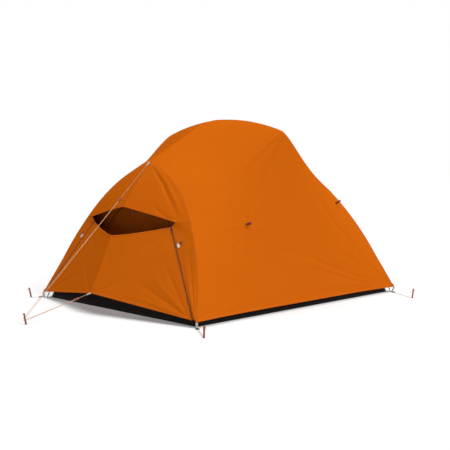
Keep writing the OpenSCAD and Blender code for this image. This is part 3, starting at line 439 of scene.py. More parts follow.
def mix(a, b, t):
    return a + (b - a) * t


def legPoint(share):
    d = share * chord
    r = lowRadius if d < peak else topRadius
    rise = shape["legBulge"] - r + math.sqrt(r * r - (d - peak) ** 2)
    across = halfWidth + along[0] * d + bow[0] * rise
    up = along[1] * d + bow[1] * rise
    return Vector((across, up * math.sin(lean) - halfDepth, up * math.cos(lean)))


def shareBelow(heightAt, height, high=1):
    # the largest share, up to high, that lies below this height
    low = 0
    for _ in range(30):
        middle = (low + high) / 2
        low, high = (middle, high) if heightAt(middle) < height else (low, middle)
    return low


def legShare(height):
    return shareBelow(lambda share: legPoint(share).z, height)


def ridgeHeight(x):
    return apex - ridgeRadius + math.sqrt(ridgeRadius ** 2 - x * x)


def crownHeight(y):
    if abs(y) < crownRadius * math.sin(spineSlope):
        return apex - crownRadius + math.sqrt(crownRadius ** 2 - y * y)
    return hubHeight + (hubReach - abs(y)) * math.tan(spineSlope)


def sideMiddle(t, base):
    s, r = min(t / shape["sideShare"], 1), max(t - shape["sideShare"], 0) / (1 - shape["sideShare"])
    if r > 0:
        return ridgeHalf * (1 - r), ridgeHeight(ridgeHalf * (1 - r))
    return (mix(halfWidth, ridgeHalf, s) - shape["sideSag"] * math.sin(math.pi * s),
        mix(base, ridgeHeight(ridgeHalf), s))


baseShare = {}


def skin(u, v, base):
    # u runs from the front legs (-1) to the rear legs (1), v from the right hem (0) over to the left (1)
    if base not in baseShare:
        baseShare[base] = legShare(base)
    t, w = min(v, 1 - v) * 2, abs(u)
    edge = legPoint(mix(baseShare[base], 1, t ** shape["rowPower"]))
    midX, midZ = sideMiddle(t, base)
    low = min(t / shape["sideShare"], 1)
    high = (max(t - shape["sideShare"], 0) / (1 - shape["sideShare"])) ** 2
    crownFall = (apex - crownHeight(w * hubReach)) / (apex - hubHeight)
    hang = shape["roofHang"] * math.sin(math.pi * w) ** shape["hangPower"] * low ** 2
    fall = mix(w ** mix(shape["fallBase"], shape["fallTop"], low) + hang, crownFall, high)
    x = midX + (edge.x - midX) * w ** mix(shape["bendBase"], shape["bendTop"], low)
    z = midZ + (edge.z - midZ) * fall
    return Vector((-x if v > 0.5 else x, -u * edge.y, z))


def outward(p):
    return Vector((p.x / halfWidth ** 2, p.y / halfDepth ** 2, p.z / apex ** 2)).normalized()


def raised(p, gap):
    return p + outward(p) * gap


cornerWay = Vector((1, -1, -0.25)).normalized()  # toward the front right peg
hemShare = legShare(hem)


def pulled(share):
    # how far a peg draws the fly out at this share of a leg
    return shape["cornerPull"] * max(1 - (share - hemShare) / shape["pullShare"], 0) ** shape["pullPower"]


def flyAt(u, v):
    share = mix(hemShare, 1, (min(v, 1 - v) * 2) ** shape["rowPower"])
    out = cornerWay * pulled(share) * abs(u) ** shape["pullFade"]
    drawn = Vector((-out.x if v > 0.5 else out.x, out.y if u < 0 else -out.y, out.z))
    return raised(skin(u, v, hem), flyOut) + drawn


def archLine(share):
    return raised(legPoint(share), flyOut) + cornerWay * pulled(share)


def rowShare(i):
    # the share of a leg at one of the fly's rows, counted from the hem
    return mix(hemShare, 1, (min(i, shape["flyRows"] - i) * 2 / shape["flyRows"]) ** shape["rowPower"])


def foldLine(at, spots, pieces=3):
    # a crease through these spots of a sheet, close enough to follow its curve
    line = [at(*spots[0])]
    for a, b in zip(spots, spots[1:]):
        line += [at(mix(a[0], b[0], k / pieces), mix(a[1], b[1], k / pieces)) for k in range(1, pieces + 1)]
    return line


foldShape = {"reach": 3, "inset": 0.03, "fadePower": 0.6}


def foldShift(points, folds):
    # each fold is (line of points, width at its start, width at its end, height); points is an n by 3 array
    total = np.zeros(len(points))
    for spots, widthA, widthB, height in folds:
        line = np.array([tuple(p) for p in spots])
        steps = np.linalg.norm(np.diff(line, axis=0), axis=1)
        reach = foldShape["reach"] * max(widthA, widthB)
        inBox = (points > line.min(axis=0) - reach) & (points < line.max(axis=0) + reach)
        close = np.nonzero(np.all(inBox, axis=1))[0]
        near, share = np.full(len(close), np.inf), np.zeros(len(close))
        for k, step in enumerate(steps):
            way = (line[k + 1] - line[k]) / step
            t = np.clip((points[close] - line[k]) @ way, 0, step)
            away = np.linalg.norm(points[close] - line[k] - t[:, None] * way, axis=1)
            share = np.where(away < near, (steps[:k].sum() + t) / steps.sum(), share)
            near = np.minimum(away, near)
        width = widthA + (widthB - widthA) * share
        inset = foldShape["inset"]
        fade = np.sin(np.pi * (share * (1 - 2 * inset) + inset)) ** foldShape["fadePower"]
        total[close] += height * fade * np.exp(-(near / width) ** 2)
    return total


def addMesh(name, verts, faces, uvs, material, smooth=True):
    mesh = bpy.data.meshes.new(name)
    mesh.from_pydata([tuple(v) for v in verts], [], faces)
    layer = mesh.uv_layers.new(name="UVMap")
    flat = np.empty(len(mesh.loops) * 2, dtype=np.float32)
    index = np.empty(len(mesh.loops), dtype=np.int32)
    mesh.loops.foreach_get("vertex_index", index)
    flat[:] = np.array(uvs, dtype=np.float32)[index].ravel()
    layer.data.foreach_set("uv", flat)
    mesh.materials.append(material)
    if smooth:
        mesh.shade_smooth()
    else:
        mesh.shade_flat()
    made = bpy.data.objects.new(name, mesh)
    bpy.context.scene.collection.objects.link(made)
    return made


def solidify(obj, thickness, offset=-1):
    made = obj.modifiers.new("thickness", "SOLIDIFY")
    made.thickness = thickness
    made.offset = offset


def gridSheet(name, rows, material, folds=(), thickness=0.0006, flip=False, crumple=0):
    # rows is a list of rows of points; a fold of positive height stands out of the sheet
    points = np.array([[tuple(p) for p in row] for row in rows])
    high, wide = points.shape[:2]
    du = np.gradient(points, axis=1)
    dv = np.gradient(points, axis=0)
    normal = np.cross(dv, du)
    if flip:
        normal = -normal
    size = np.linalg.norm(normal, axis=2, keepdims=True)
    normal = normal / np.maximum(size, 1e-9)
    if folds:
        shift = foldShift(points.reshape(-1, 3), folds).reshape(high, wide)
        points = points - normal * shift[..., None]
    if crumple:
        wave = np.array([[softNoise(points[i, j]) for j in range(wide)] for i in range(high)])
        points = points + normal * (wave * crumple)[..., None]
    stepU = np.linalg.norm(np.diff(points, axis=1), axis=2).mean(axis=0)
    stepV = np.linalg.norm(np.diff(points, axis=0), axis=2).mean(axis=1)
    x, y = np.concatenate([[0], np.cumsum(stepU)]), np.concatenate([[0], np.cumsum(stepV)])
    uvs = [(x[j], y[i]) for i in range(high) for j in range(wide)]
    faces = []
    for i in range(high - 1):
        for j in range(wide - 1):
            a, b, c, d = i * wide + j, i * wide + j + 1, (i + 1) * wide + j + 1, (i + 1) * wide + j
            faces.append((a, b, c, d) if flip else (a, d, c, b))
    made = addMesh(name, points.reshape(-1, 3), faces, uvs, material)
    solidify(made, thickness)
    return made


def softNoise(p):
    # a slow wave in three directions, the same on every run
    x, y, z = p
    return (math.sin(9.1 * x + 4.7 * y + 1.3) * math.sin(7.3 * y - 5.9 * z + 0.4)
        + 0.5 * math.sin(17.3 * x - 11.9 * z + 2.1) * math.sin(14.9 * y + 8.3 * x)
        + 0.25 * math.sin(31 * y + 23 * z) * math.sin(27 * x - 19 * y + 1.7))


# a seam's cross-section, as shares of its width and height, and how far it stands off the cloth
band = {"profile": [(-0.5, 0), (-0.42, 0.8), (-0.2, 1), (0.2, 1), (0.42, 0.8), (0.5, 0)], "off": 0.0002}


def strip(name, line, across, normals, width, lift, material, thickness=0.0008):
    # a raised band along a line: a seam or a binding
    profile = band["profile"]
    verts, uvs, run = [], [], 0
    for i, p in enumerate(line):
        if i:
            run += (Vector(p) - Vector(line[i - 1])).length
        for side, up in profile:
            high = band["off"] + lift * up
            verts.append(Vector(p) + Vector(across[i]) * side * width + Vector(normals[i]) * high)
            uvs.append((run, (side + 0.5) * width))
    n = len(profile)
    faces = [(i * n + j, (i + 1) * n + j, (i + 1) * n + j + 1, i * n + j + 1)
        for i in range(len(line) - 1) for j in range(n - 1)]
    made = addMesh(name, verts, faces, uvs, material)
    solidify(made, thickness, 0)
    return made


def lineFrames(line, inward):
    # directions along a line, across it towards inward, and out of the surface
    across, normals = [], []
    for i in range(len(line)):
        way = (Vector(line[min(i + 1, len(line) - 1)]) - Vector(line[max(i - 1, 0)])).normalized()
        side = (Vector(inward[i]) - Vector(line[i]))
        side = (side - way * side.dot(way)).normalized()
        up = way.cross(side)
        if up.dot(outward(Vector(line[i]))) < 0:
            up = -up
        across.append(side)
        normals.append(up)
    return across, normals


def mirrorPoint(p, x, y):
    return Vector((p[0] * x, p[1] * y, p[2]))


def edgeStrip(name, line, inside, x, y, size, pull=0.5):
    # a seam on an edge, of this width and height, set inward by a share of its width
    width, lift = size
    line = [mirrorPoint(p, x, y) for p in line]
    inside = [mirrorPoint(p, x, y) for p in inside]
    across, normals = lineFrames(line, inside)
    shifted = [p + a * width * pull for p, a in zip(line, across)]
    made = strip(name, shifted, across, normals, width, lift, seamOrange)
    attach(made, "tent")
    return made


brokenEdge = {"segments": 2, "angle": 40}


def dress(name, material, bevel):
    # a CAD node that stays gets its finish and slightly broken edges
    obj = nodes[name]
    if not obj.data.materials:
        obj.data.materials.append(material)
    for held in obj.material_slots:
        held.link = "OBJECT"
        held.material = material
    if bevel:
        made = obj.modifiers.new("edges", "BEVEL")
        made.width = bevel
        made.segments = brokenEdge["segments"]
        made.limit_method = "ANGLE"
        made.angle_limit = math.radians(brokenEdge["angle"])


# a seam is its width and height; inset is where a seam's inner side is felt, as a share of the sheet
fly = {"rows": 260, "columns": 184, "thickness": 0.0006, "crumple": 0.0006, "steps": 120, "inset": 0.985,
    "hemEnd": 0.995, "hemInset": 0.01, "legSeam": (0.012, 0.0009), "sideHem": (0.015, 0.0011)}

# creases of the right side: (u, v) from and to, width at each end and height, in metres
sideFolds = [
    (0.30, 0.262, 0.70, 0.118, 0.016, 0.012, -0.0055), (0.70, 0.118, 0.99, 0.004, 0.012, 0.006, -0.004),
    (0.42, 0.268, 0.76, 0.150, 0.014, 0.012, 0.0035), (0.76, 0.150, 0.98, 0.018, 0.012, 0.006, 0.0030),
    (0.985, 0.004, -0.36, 0.121, 0.006, 0.020, -0.0042), (0.985, 0.004, -0.10, 0.086, 0.006, 0.018, 0.0032),
    (0.985, 0.003, 0.10, 0.060, 0.005, 0.014, -0.0026), (0.985, 0.002, 0.25, 0.034, 0.005, 0.012, 0.0022),
    (0.985, 0.002, -0.25, 0.020, 0.004, 0.012, -0.0020), (0.975, 0.006, 0.42, 0.120, 0.006, 0.018, -0.0020),
    (0.02, 0.318, -0.42, 0.300, 0.010, 0.020, -0.0050), (0.02, 0.316, -0.30, 0.282, 0.010, 0.022, 0.0036),
    (0.02, 0.314, -0.24, 0.262, 0.012, 0.024, -0.0030), (0.02, 0.312, -0.50, 0.190, 0.012, 0.018, -0.0036),
    (0.02, 0.310, -0.12, 0.230, 0.012, 0.024, 0.0026), (0.02, 0.312, 0.28, 0.268, 0.012, 0.022, -0.0030),
    (-0.52, 0.182, -0.30, 0.150, 0.010, 0.030, 0.0040), (-0.52, 0.182, -0.80, 0.200, 0.010, 0.026, 0.0030),
    (-0.52, 0.178, -0.45, 0.110, 0.010, 0.026, 0.0026), (-0.52, 0.178, -0.66, 0.120, 0.010, 0.026, -0.0022),
    (-0.97, 0.004, -0.60, 0.060, 0.006, 0.016, -0.0022), (-0.97, 0.004, -0.45, 0.026, 0.006, 0.014, 0.0020)]


# the left side's creases are the right side's, moved and lowered by these shares
leftFolds = {"start": 0.98, "end": 0.94, "drop": 1.05, "height": 0.9}


def flyFolds():
    folds = []
    for u0, v0, u1, v1, a, b, h in sideFolds:
        folds.append((foldLine(flyAt, [(u0, v0), (u1, v1)]), a, b, h))
        left = [(-u0 * leftFolds["start"], 1 - v0), (-u1 * leftFolds["end"], 1 - v1 * leftFolds["drop"])]
        folds.append((foldLine(flyAt, left), a, b, h * leftFolds["height"]))
    return folds


def addFly():
    rows = [[flyAt(2 * j / fly["columns"] - 1, i / fly["rows"]) for j in range(fly["columns"] + 1)]
        for i in range(fly["rows"] + 1)]
    made = gridSheet("flyCanopy", rows, flyOrange, flyFolds(), fly["thickness"], crumple=fly["crumple"])
    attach(made, "tent")
    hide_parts("fly_canopy")
    steps = fly["steps"]
    for end, endName in ((-1, "Front"), (1, "Rear")):
        for side, sideName in ((0, "Right"), (1, "Left")):
            shares = [i / steps for i in range(1, steps)]
            vs = [share / 2 if side == 0 else 1 - share / 2 for share in shares]
            edgeStrip(f"legSeam{endName}{sideName}", [flyAt(end, v) for v in vs],
                [flyAt(end * fly["inset"], v) for v in vs], 1, 1, fly["legSeam"])
    us = [mix(-fly["hemEnd"], fly["hemEnd"], i / steps) for i in range(steps + 1)]
    for v, sideName in ((0.0, "Right"), (1.0, "Left")):
        inV = abs(v - fly["hemInset"])
        edgeStrip(f"sideHem{sideName}", [flyAt(u, v) for u in us],
            [flyAt(u, inV) for u in us], 1, 1, fly["sideHem"])


addFly()
print("fly")


# one end of the tent, made at the front and mirrored for the rear; shares are of the tent's own sizes
front = {"zipFoot": (0.831, -1.078, 0.051), "headShare": (0.509, 0.453, 0.586),
    "endShare": (0.0473, 0.0205, 0.031), "wingColumns": 30, "wingLines": 110, "awningColumns": 130,
    "awningLines": 50, "doorColumns": 180, "doorLines": 72, "bulge": 0.009, "zipHalf": 0.0078,
    "zipProud": 0.00125, "doorOut": 0.010, "awningBow": (1.2, 1.15), "doorBow": (1.2, 1.3),
    "awningCrumple": 0.0005, "doorCrumple": 0.0006}
# each seam's width and height
hems = {"zip": (0.008, 0.0008), "wing": (0.012, 0.0010), "awning": (0.010, 0.0010), "doorTop": (0.012, 0.0010),
    "doorLow": (0.014, 0.0010), "doorMiddle": (0.010, 0.0012), "lowShare": 0.972}
zipFoot = Vector(front["zipFoot"])
headX, headY, headZ = front["headShare"]
endX, endY, endZ = front["endShare"]
zipHead = Vector((headX * halfWidth, mix(-halfDepth, -hubReach, headY), headZ * hubHeight))
zipLength = (zipHead - zipFoot).length
zipWay = (zipHead - zipFoot) / zipLength
doorTop = Vector((0, -halfDepth - front["doorOut"], zipHead.z - shape["doorSag"]))
tip = Vector((0, -halfDepth - shape["tipOut"], shape["tipHigh"]))
zipOut = (zipHead - zipFoot).cross(doorTop - zipHead).normalized()
zipSide = zipWay.cross(zipOut)
awningCrown = Vector((0, -hubReach - flyOut - shape["awningOut"], hubHeight - shape["awningDrop"]))
awningEnd = zipHead + Vector((endX * halfWidth, endY * (halfDepth - hubReach), endZ * hubHeight))
wingTop = shape["awningRow"] / (shape["awningRow"] - 1)


def zipLine(t, side):
    return zipFoot + zipWay * zipLength * t + zipSide * side + zipOut * front["zipProud"]


def wingAt(t, s):
    # t from the hem (0) to the zip's head (1) and on to the awning's end (1.17); s from the leg to the zip
    if t <= 1:
        zipEdge = zipLine(t, front["zipHalf"])
    else:
        zipEdge = mix(zipLine(1, front["zipHalf"]), awningEnd, (t - 1) / (wingTop - 1))
    p = mix(archLine(rowShare(t * (shape["awningRow"] - 1))), zipEdge, s)
    return p + outward(p) * front["bulge"] * math.sin(math.pi * s) * max(1 - t, 0)


def awningHigh(a):
    # a from 1, right, to -1, left
    i = mix(shape["flyRows"] / 2, shape["awningRow"], abs(a))
    p = archLine(rowShare(i))
    return mirrorPoint(p, -1, 1) if a < 0 else p


def awningLow(a):
    inPower, upPower = front["awningBow"]
    return Vector((awningEnd.x * a, mix(awningCrown.y, awningEnd.y, abs(a) ** inPower),
        mix(awningCrown.z, awningEnd.z, abs(a) ** upPower)))


def awningAt(a, s):
    p = mix(awningHigh(a), awningLow(a), s)
    return p + outward(p) * front["bulge"] * math.sin(math.pi * s) * (1 - abs(a))


def doorLow(a):
    p = mix(tip, zipLine(0, -front["zipHalf"]), abs(a))
    return mirrorPoint(p, -1, 1) if a < 0 else p


def doorHigh(a):
    e = zipLine(1, -front["zipHalf"])
    inPower, upPower = front["doorBow"]
    p = Vector((e.x * abs(a), mix(doorTop.y, e.y, abs(a) ** inPower), mix(doorTop.z, e.z, abs(a) ** upPower)))
    return mirrorPoint(p, -1, 1) if a < 0 else p


def doorAt(a, s):
    return mix(doorLow(a), doorHigh(a), s)


# creases of one end, as for the fly: along and across the sheet, width at each end and height
wingFolds = [(0.0, 0.55, 0.80, 0.35, 0.006, 0.012, -0.003), (0.0, 0.75, 0.60, 0.75, 0.005, 0.010, 0.0025),
    (0.0, 0.30, 0.50, 0.10, 0.005, 0.010, -0.002)]
awningFolds = [(0.06, 0.06, 0.80, 0.50, 0.008, 0.016, -0.006), (0.10, 0.03, 0.90, 0.34, 0.010, 0.014, 0.004),
    (-0.06, 0.06, -0.70, 0.62, 0.008, 0.016, -0.0035), (0.0, 0.10, 0.0, 0.95, 0.012, 0.012, 0.003),
    (1.0, 0.98, 0.42, 0.74, 0.006, 0.018, -0.003), (-1.0, 0.98, -0.42, 0.74, 0.006, 0.018, -0.003)]
doorFolds = [(0.0, 0.02, 0.0, 0.98, 0.007, 0.007, 0.003), (0.99, 0.99, 0.45, 0.72, 0.006, 0.020, -0.004),
    (-0.99, 0.99, -0.45, 0.72, 0.006, 0.020, -0.004), (0.99, 0.97, 0.62, 0.50, 0.006, 0.020, 0.003),
    (0.98, 0.01, 0.50, 0.30, 0.005, 0.020, -0.0035), (0.98, 0.01, 0.66, 0.42, 0.005, 0.020, 0.003),
    (0.98, 0.01, 0.82, 0.60, 0.005, 0.016, -0.0035), (0.98, 0.01, 0.40, 0.12, 0.005, 0.016, 0.0025),
    (-0.98, 0.01, -0.50, 0.30, 0.005, 0.020, -0.0030), (0.02, 0.02, 0.35, 0.35, 0.005, 0.020, -0.0025),
    (-0.02, 0.02, -0.35, 0.40, 0.005, 0.020, -0.0025)]


def endFolds(at, spots, x, y):
    folds = []
    for a0, b0, a1, b1, widthA, widthB, height in spots:
        line = [mirrorPoint(p, x, y) for p in foldLine(at, [(a0, b0), (a1, b1)])]
        folds.append((line, widthA, widthB, height))
    return folds


def placeRows(rows, x, y):
    return [[mirrorPoint(p, x, y) for p in row] for row in rows]


def finishEndSheet(made, node):
    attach(made, "tent")
    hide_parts(node)


def addWing(x, y, hand, label):
    title = label.title() + hand.title()
    rows = [[wingAt(wingTop * i / front["wingLines"], j / front["wingColumns"])
        for j in range(front["wingColumns"] + 1)] for i in range(front["wingLines"] + 1)]
    made = gridSheet(f"flyWing{title}", placeRows(rows, x, y), flyOrange, endFolds(wingAt, wingFolds, x, y),
        flip=x * y > 0)
    finishEndSheet(made, f"fly_wing_{label}_{hand}")
    ts = [i / 70 for i in range(71)]
    ss = [i / 30 for i in range(31)]
    edges = [edgeStrip(f"wingZipEdge{title}", [wingAt(t, 1) for t in ts], [wingAt(t, 0.9) for t in ts],
            x, y, hems["zip"]),
        edgeStrip(f"wingHem{title}", [wingAt(0, s) for s in ss], [wingAt(0.03, s) for s in ss],
            x, y, hems["wing"])]


def addAwning(y, label):
    columns, lines = front["awningColumns"], front["awningLines"]
    rows = [[awningAt(1 - 2 * j / columns, i / lines) for j in range(columns + 1)] for i in range(lines + 1)]
    made = gridSheet(f"awning{label.title()}", placeRows(rows, 1, y), flyOrange,
        endFolds(awningAt, awningFolds, 1, y), flip=y < 0, crumple=front["awningCrumple"])
    finishEndSheet(made, f"awning_{label}")
    spots = [1 - 2 * j / 100 for j in range(101)]
    binding = edgeStrip(f"awningBinding{label.title()}", [awningAt(a, 1) for a in spots],
        [awningAt(a, 0.95) for a in spots], 1, y, hems["awning"])


def addDoor(y, label):
    columns, lines = front["doorColumns"], front["doorLines"]
    rows = [[doorAt(1 - 2 * j / columns, 1 - i / lines) for j in range(columns + 1)] for i in range(lines + 1)]
    made = gridSheet(f"door{label.title()}", placeRows(rows, 1, y), flyOrange,
        endFolds(doorAt, doorFolds, 1, y), flip=y < 0, crumple=front["doorCrumple"])
    finishEndSheet(made, f"door_{label}")
    spots = [1 - 2 * j / 100 for j in range(101)]
    low = [a * hems["lowShare"] for a in spots]  # ends short of the sliders
    up = [i / 60 for i in range(61)]
    parts = [edgeStrip(f"doorTopHem{label.title()}", [doorAt(a, 1) for a in spots],
            [doorAt(a, 0.95) for a in spots], 1, y, hems["doorTop"]),
        edgeStrip(f"doorLowHem{label.title()}", [doorAt(a, 0) for a in low],
            [doorAt(a, 0.05) for a in low], 1, y, hems["doorLow"]),
        edgeStrip(f"doorMiddleSeam{label.title()}", [doorAt(0, t) for t in up],
            [doorAt(0.05, t) for t in up], 1, y, hems["doorMiddle"], 0.0)]
    for x, hand in ((1, "Right"), (-1, "Left")):
        parts.append(edgeStrip(f"doorZipEdge{label.title()}{hand}", [doorAt(1, t) for t in up],
            [doorAt(0.95, t) for t in up], x, y, hems["zip"]))


def addEnd(y, label):
    addWing(1, y, "right", label)
    addWing(-1, y, "left", label)
    addAwning(y, label)
    addDoor(y, label)


addEnd(1, "front")
addEnd(-1, "rear")
print("wings, awnings and doors")


teeth = {"pitch": 0.003, "width": 0.003, "long": 0.0018, "high": 0.0022, "slit": 0.0016, "taper": 0.82,
    "first": 0.0065, "spare": 0.012, "stop": 0.006, "tape": 0.0042, "tapeThick": 0.001, "overlap": 0.0008}


def addZips(y, label):
    parts = {"teeth": ([], [], []), "tape": ([], [], [])}
    halfSlit = teeth["slit"] / 2

    def block(kind, x, origin, size):
        verts, faces, uvs = parts[kind]
        start = len(verts)
        base = ((0, 0), (1, 0), (1, 1), (0, 1))
        for dx, dy, dz in [(*spot, 0) for spot in base] + [(*spot, 1) for spot in base]:
            taper = teeth["taper"] if dz else 1
            a = origin[0] + size[0] * (0.5 + (dx - 0.5) * taper)
            b = origin[1] + size[1] * (0.5 + (dy - 0.5) * taper)
            c = origin[2] + size[2] * dz
            p = zipFoot + zipSide * a + zipWay * b + zipOut * c
            verts.append(mirrorPoint(p, x, y))
            uvs.append((b, a))
        quads = [(0, 3, 2, 1), (4, 5, 6, 7), (0, 1, 5, 4), (1, 2, 6, 5), (2, 3, 7, 6), (3, 0, 4, 7)]
        for q in quads:
            q = q if x * y > 0 else q[::-1]
            faces.append(tuple(start + k for k in q))

    for x in (1, -1):
        for hand in (1, -1):
            for k in range(int((zipLength - teeth["spare"]) / teeth["pitch"])):
                at = teeth["first"] + k * teeth["pitch"] + (teeth["pitch"] / 2 if hand > 0 else 0)
                left = halfSlit if hand > 0 else -halfSlit - teeth["width"]
                block("teeth", x, (left, at, -teeth["high"] / 2),
                    (teeth["width"], teeth["long"], teeth["high"]))
            reach = halfSlit + teeth["width"] - teeth["overlap"]
            left = reach if hand > 0 else -reach - teeth["tape"]
            block("tape", x, (left, 0, -teeth["tapeThick"] / 2), (teeth["tape"], zipLength, teeth["tapeThick"]))
        for at in (0, zipLength - teeth["stop"]):
            block("teeth", x, (-halfSlit - teeth["width"], at, -teeth["high"] / 2),
                (2 * halfSlit + 2 * teeth["width"], teeth["stop"], teeth["high"]))
    made = addMesh(f"zipTeeth{label.title()}", *parts["teeth"], zipMoulding, smooth=False)
    tape = addMesh(f"zipTape{label.title()}", *parts["tape"], seamOrange, smooth=False)
    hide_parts(f"zip_tracks_{label}")
    for piece in (made, tape):
        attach(piece, "tent")


addZips(1, "front")
addZips(-1, "rear")
print("zips")


inner = {"gap": 0.038, "base": 0.107, "rows": 90, "columns": 46, "rowsInSource": 20, "wallTop": 9.5,
    "wallIn": 0.0026, "doorWidth": 0.76, "doorHigh": 0.62, "doorMiddle": 0.45, "shoulder": 0.42, "sill": 0.165,
    "corner": 0.07, "topPower": 0.8, "canopyCrumple": 0.002, "thickness": 0.0008,
    "doorGap": 0.008, "doorHeart": 0.02}


def innerAt(u, v, gap):
    return raised(skin(u, v, inner["base"]), -gap)


innerBase = legShare(inner["base"])


def wallEdge(i):
    # a point on the end wall's right edge, i rows up
    share = mix(innerBase, 1, (2 * i / inner["rowsInSource"]) ** shape["rowPower"])
    return raised(legPoint(share), -inner["gap"] - inner["wallIn"])


def wallEdgeAt(z):
    return wallEdge(shareBelow(lambda row: wallEdge(row).z, z, inner["wallTop"]))


def doorShape(grow, steps=14):
    r, c = inner["doorWidth"] / 2 + grow, inner["corner"]
    top = inner["sill"] + inner["doorHigh"] + grow
    shoulder = inner["sill"] + inner["doorHigh"] * inner["shoulder"]
    points = []
    for i in range(steps + 1):
        a = math.radians(-90 + 90 * i / steps)
        points.append((r - c + c * math.cos(a), inner["sill"] - grow + c + c * math.sin(a)))
    for i in range(1, steps + 1):
        a = math.radians(90 * i / steps)
        points.append((r * max(math.cos(a), 0) ** inner["topPower"], shoulder + (top - shoulder) * math.sin(a)))
    return points + [(-x, z) for x, z in reversed(points[:-1])]


def wallPoint(a, b, share):
    x, z = mix(a[0], b[0], share), mix(a[1], b[1], share)
    return Vector((x, wallEdgeAt(z).y, z))


def ringSheet(name, outer, inside, y, material, columns):
    # a flat ring or panel between two outlines of (x, z), lying on the end wall
    rows = [[wallPoint(a, b, k / columns) for a, b in zip(outer, inside)] for k in range(columns + 1)]
    return gridSheet(name, placeRows(rows, 1, y), material, thickness=inner["thickness"], flip=y > 0)


def wallOutline(hole):
    # where rays from the door's middle through its outline leave the wall
    midZ = inner["sill"] + inner["doorHigh"] * inner["doorMiddle"]
    top = wallEdge(inner["wallTop"]).z
    outline = []
    for x, z in hole:
        k = 1.0
        while k < 12:
            px, pz = x * k, midZ + (z - midZ) * k
            if pz <= inner["base"] or pz >= top or abs(px) >= wallEdgeAt(pz).x:
                break
            k += 0.01
        outline.append((x * k, max(min(midZ + (z - midZ) * k, top), inner["base"])))
    return outline


def addInner():
    columns, lines = inner["columns"], inner["rows"]
    rows = [[innerAt(2 * j / columns - 1, i / lines, inner["gap"]) for j in range(columns + 1)]
        for i in range(lines + 1)]
    made = gridSheet("innerCanopy", rows, meshPaintedFlyLight, crumple=inner["canopyCrumple"],
        thickness=inner["thickness"])
    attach(made, "tent")
    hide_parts("inner_canopy")
    for y, label in ((1, "front"), (-1, "rear")):
        addInnerEnd(y, label)


def addInnerEnd(y, label):
    hole = doorShape(0.0)
    closed = hole + [hole[0]]
    wall = ringSheet(f"innerWall{label.title()}", closed, wallOutline(closed), y, meshPaintedFlyLight, 14)
    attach(wall, "tent")
    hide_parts(f"inner_wall_{label}")
    small = doorShape(-inner["doorGap"])
    small = small + [small[0]]
    midZ = inner["sill"] + inner["doorHigh"] * inner["doorMiddle"]
    heart = inner["doorHeart"]  # the panel's rings start this small
    middle = [(x * heart, mix(midZ, z, heart)) for x, z in small]
    panel = ringSheet(f"innerDoor{label.title()}", middle, small, y, doorPaintedFlyLight, 16)
    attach(panel, "tent")
    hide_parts(f"inner_door_{label}")


tub = {"inset": 0.022, "high": 0.1047, "steps": 70, "base": 0.0006, "middle": 0.02, "bow": 0.004,
    "crumple": 0.0004}


def tubRing(x, y, bow, z):
    # a rectangle whose sides bow inward
    corners = [(-x, -y), (x, -y), (x, y), (-x, y)]
    inward = [(0, 1), (-1, 0), (0, -1), (1, 0)]
    ring = []
    for c, (nx, ny) in enumerate(inward):
        a, b = corners[c], corners[(c + 1) % 4]
        for i in range(tub["steps"]):
            t = i / tub["steps"]
            sag = bow * math.sin(math.pi * t)
            ring.append(Vector((mix(a[0], b[0], t) + nx * sag, mix(a[1], b[1], t) + ny * sag, z)))
    return ring + [ring[0].copy()]


def addTub():
    rim = innerAt(1, 0, inner["gap"])
    low = (halfWidth - tub["inset"], halfDepth - tub["inset"])
    rows = []
    for t in (0.0, 0.25, 0.5, 0.75, 1.0):
        rows.append(tubRing(mix(tub["middle"], low[0], t), mix(tub["middle"], low[1], t), 0, tub["base"]))
    for t in (0.1, 0.25, 0.45, 0.65, 0.85, 1.0):
        bow = tub["bow"] * math.sin(math.pi * t)
        z = mix(tub["base"], tub["high"], t)
        rows.append(tubRing(mix(low[0], rim.x, t), mix(low[1], rim.y, t), bow, z))
    made = gridSheet("tubFloor", rows, tubBlack, thickness=inner["thickness"], flip=True,
        crumple=tub["crumple"])
    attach(made, "tent")
    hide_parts("groundsheet")


addInner()
addTub()
print("inner tent and floor")


# split is where the tensioner doubles a cord and beside how far its strands run on; pegHigh is its turn
cords = {"diameter": 0.003, "strand": 0.005, "turnWide": 0.009, "turnLong": 0.0105, "stakeOut": 0.692,
    "pegLean": 12, "loopRadius": 0.0034, "loopLong": 0.036, "loopLift": 0.001, "clear": 0.0003,
    "hemLoop": (0, -0.0009, 0.002)}
guy = {"split": 0.330, "beside": 0.240, "pegHigh": 0.046}
hemLine = {"split": 0.070, "beside": 0.130, "pegHigh": 0.028}


def pegAxis(height):
    a = math.radians(cords["pegLean"])
    return Vector((0, -halfDepth - cords["stakeOut"] - height * math.sin(a), height * math.cos(a)))


def loopEnd(loopAt, turn):
    return loopAt + (turn - loopAt).normalized() * (cords["loopLong"] + cords["clear"])


def guyLoop():
    # the loop stands on the cloth over the hub, square to the awning
    hubLine = archLine(1)
    way = (awningCrown - hubLine).normalized()
    off = cords["loopRadius"] + cords["clear"]
    return hubLine + Vector((0, way.z, -way.y)) * off + Vector((0, 0, cords["loopLift"]))


def doubledRoute(start, turn, split, beside):
    way = (turn - start).normalized()
    strand = Vector((cords["strand"], 0, 0))
    route = [start, start + way * split * 0.5, start + way * split, start + way * (split + beside)]
    route.append(route[-1] + (turn - Vector((cords["turnWide"], 0, 0)) - route[-1]) * 0.5)
    for angle in range(180, -1, -20):
        a = math.radians(angle)
        aside = Vector((cords["turnWide"] * math.cos(a), 0, 0))
        route.append(turn + aside + way * cords["turnLong"] * math.sin(a))
    back = start + way * (split + beside) + strand
    halfway = back + (turn + Vector((cords["turnWide"], 0, 0)) - back) * 0.5
    route += [halfway, back, start + way * split + strand]
    return route


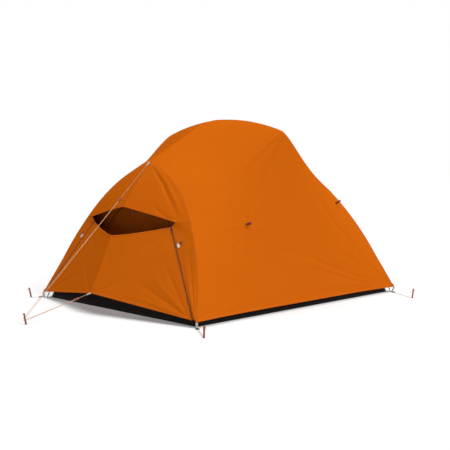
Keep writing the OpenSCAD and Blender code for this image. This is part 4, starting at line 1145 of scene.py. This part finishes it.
def addCord(name, node, route):
    curve = bpy.data.curves.new(name, "CURVE")
    curve.dimensions = "3D"
    curve.bevel_depth = cords["diameter"] / 2
    curve.bevel_resolution = 3
    curve.use_fill_caps = True
    spline = curve.splines.new("POLY")
    spline.points.add(len(route) - 1)
    for point, place in zip(spline.points, route):
        point.co = (*place, 1)
    curve.materials.append(beigeBraid)
    made = bpy.data.objects.new(name, curve)
    bpy.context.scene.collection.objects.link(made)
    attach(made, "tent")
    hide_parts(node)


def addCords():
    for name, node, loopAt, s in (("guylineCord", "guyline", guyLoop(), guy),
            ("hemCord", "hem_cord", tip + Vector(cords["hemLoop"]), hemLine)):
        turn = pegAxis(s["pegHigh"])
        route = doubledRoute(loopEnd(loopAt, turn), turn, s["split"], s["beside"])
        addCord(name, node, route)


addCords()
print("cords")


# the nodes that keep their CAD shape: names, finish and the width of the broken edge
ends = ("front_right", "front_left", "rear_right", "rear_left")
finishes = [
    (["leg_" + end for end in ends] + ["spine_pole", "ridge_pole"], poleAlloy, 0),
    (["slider_" + end for end in ends], blackMoulding, 0.0002),
    (["pull_" + end for end in ends] + ["door_tie_hooks"], blackMoulding, 0.0003),
    (["pole_joints"], poleAlloy, 0.0002), (["foot_eyelets"], poleAlloy, 0.0004),
    (["pole_cords"], elasticBraid, 0),
    (["hub_front", "hub_rear", "ridge_swivel", "ridge_caps", "pole_tips", "pole_clips"], blackMoulding, 0.0005),
    (["corner_buckles"], blackMoulding, 0.0006), (["awning_toggle"], blackMoulding, 0.0004),
    (["inner_zips"], zipMoulding, 0), (["fly_ties"], blackWebbing, 0.0003),
    (["toggle_loop"], blackWebbing, 0.0002),
    (["side_loops"], redWebbing, 0.0004), (["guy_loops", "hem_loops", "fly_corner_webs"], whiteWebbing, 0.0003),
    (["corner_straps"], whiteWebbing, 0.0004), (["door_ties"], seamOrange, 0.0003),
    (["door_tie_discs"], whiteMoulding, 0.0005), (["corner_pegs", "front_peg"], redAnodised, 0.0003),
    (["peg_pulls"], orangeBraid, 0), (["guyline_tensioner", "hem_tensioner"], redMoulding, 0.0006)]
for names, finish, edge in finishes:
    for name in names:
        dress(name, finish, edge)
roundNodes = ("leg_", "spine", "ridge_pole", "pole_joints", "peg_pulls")
for obj in nodes.values():
    if not obj.hide_render and obj.name.startswith(roundNodes):
        obj.data.shade_smooth()
print("fittings")
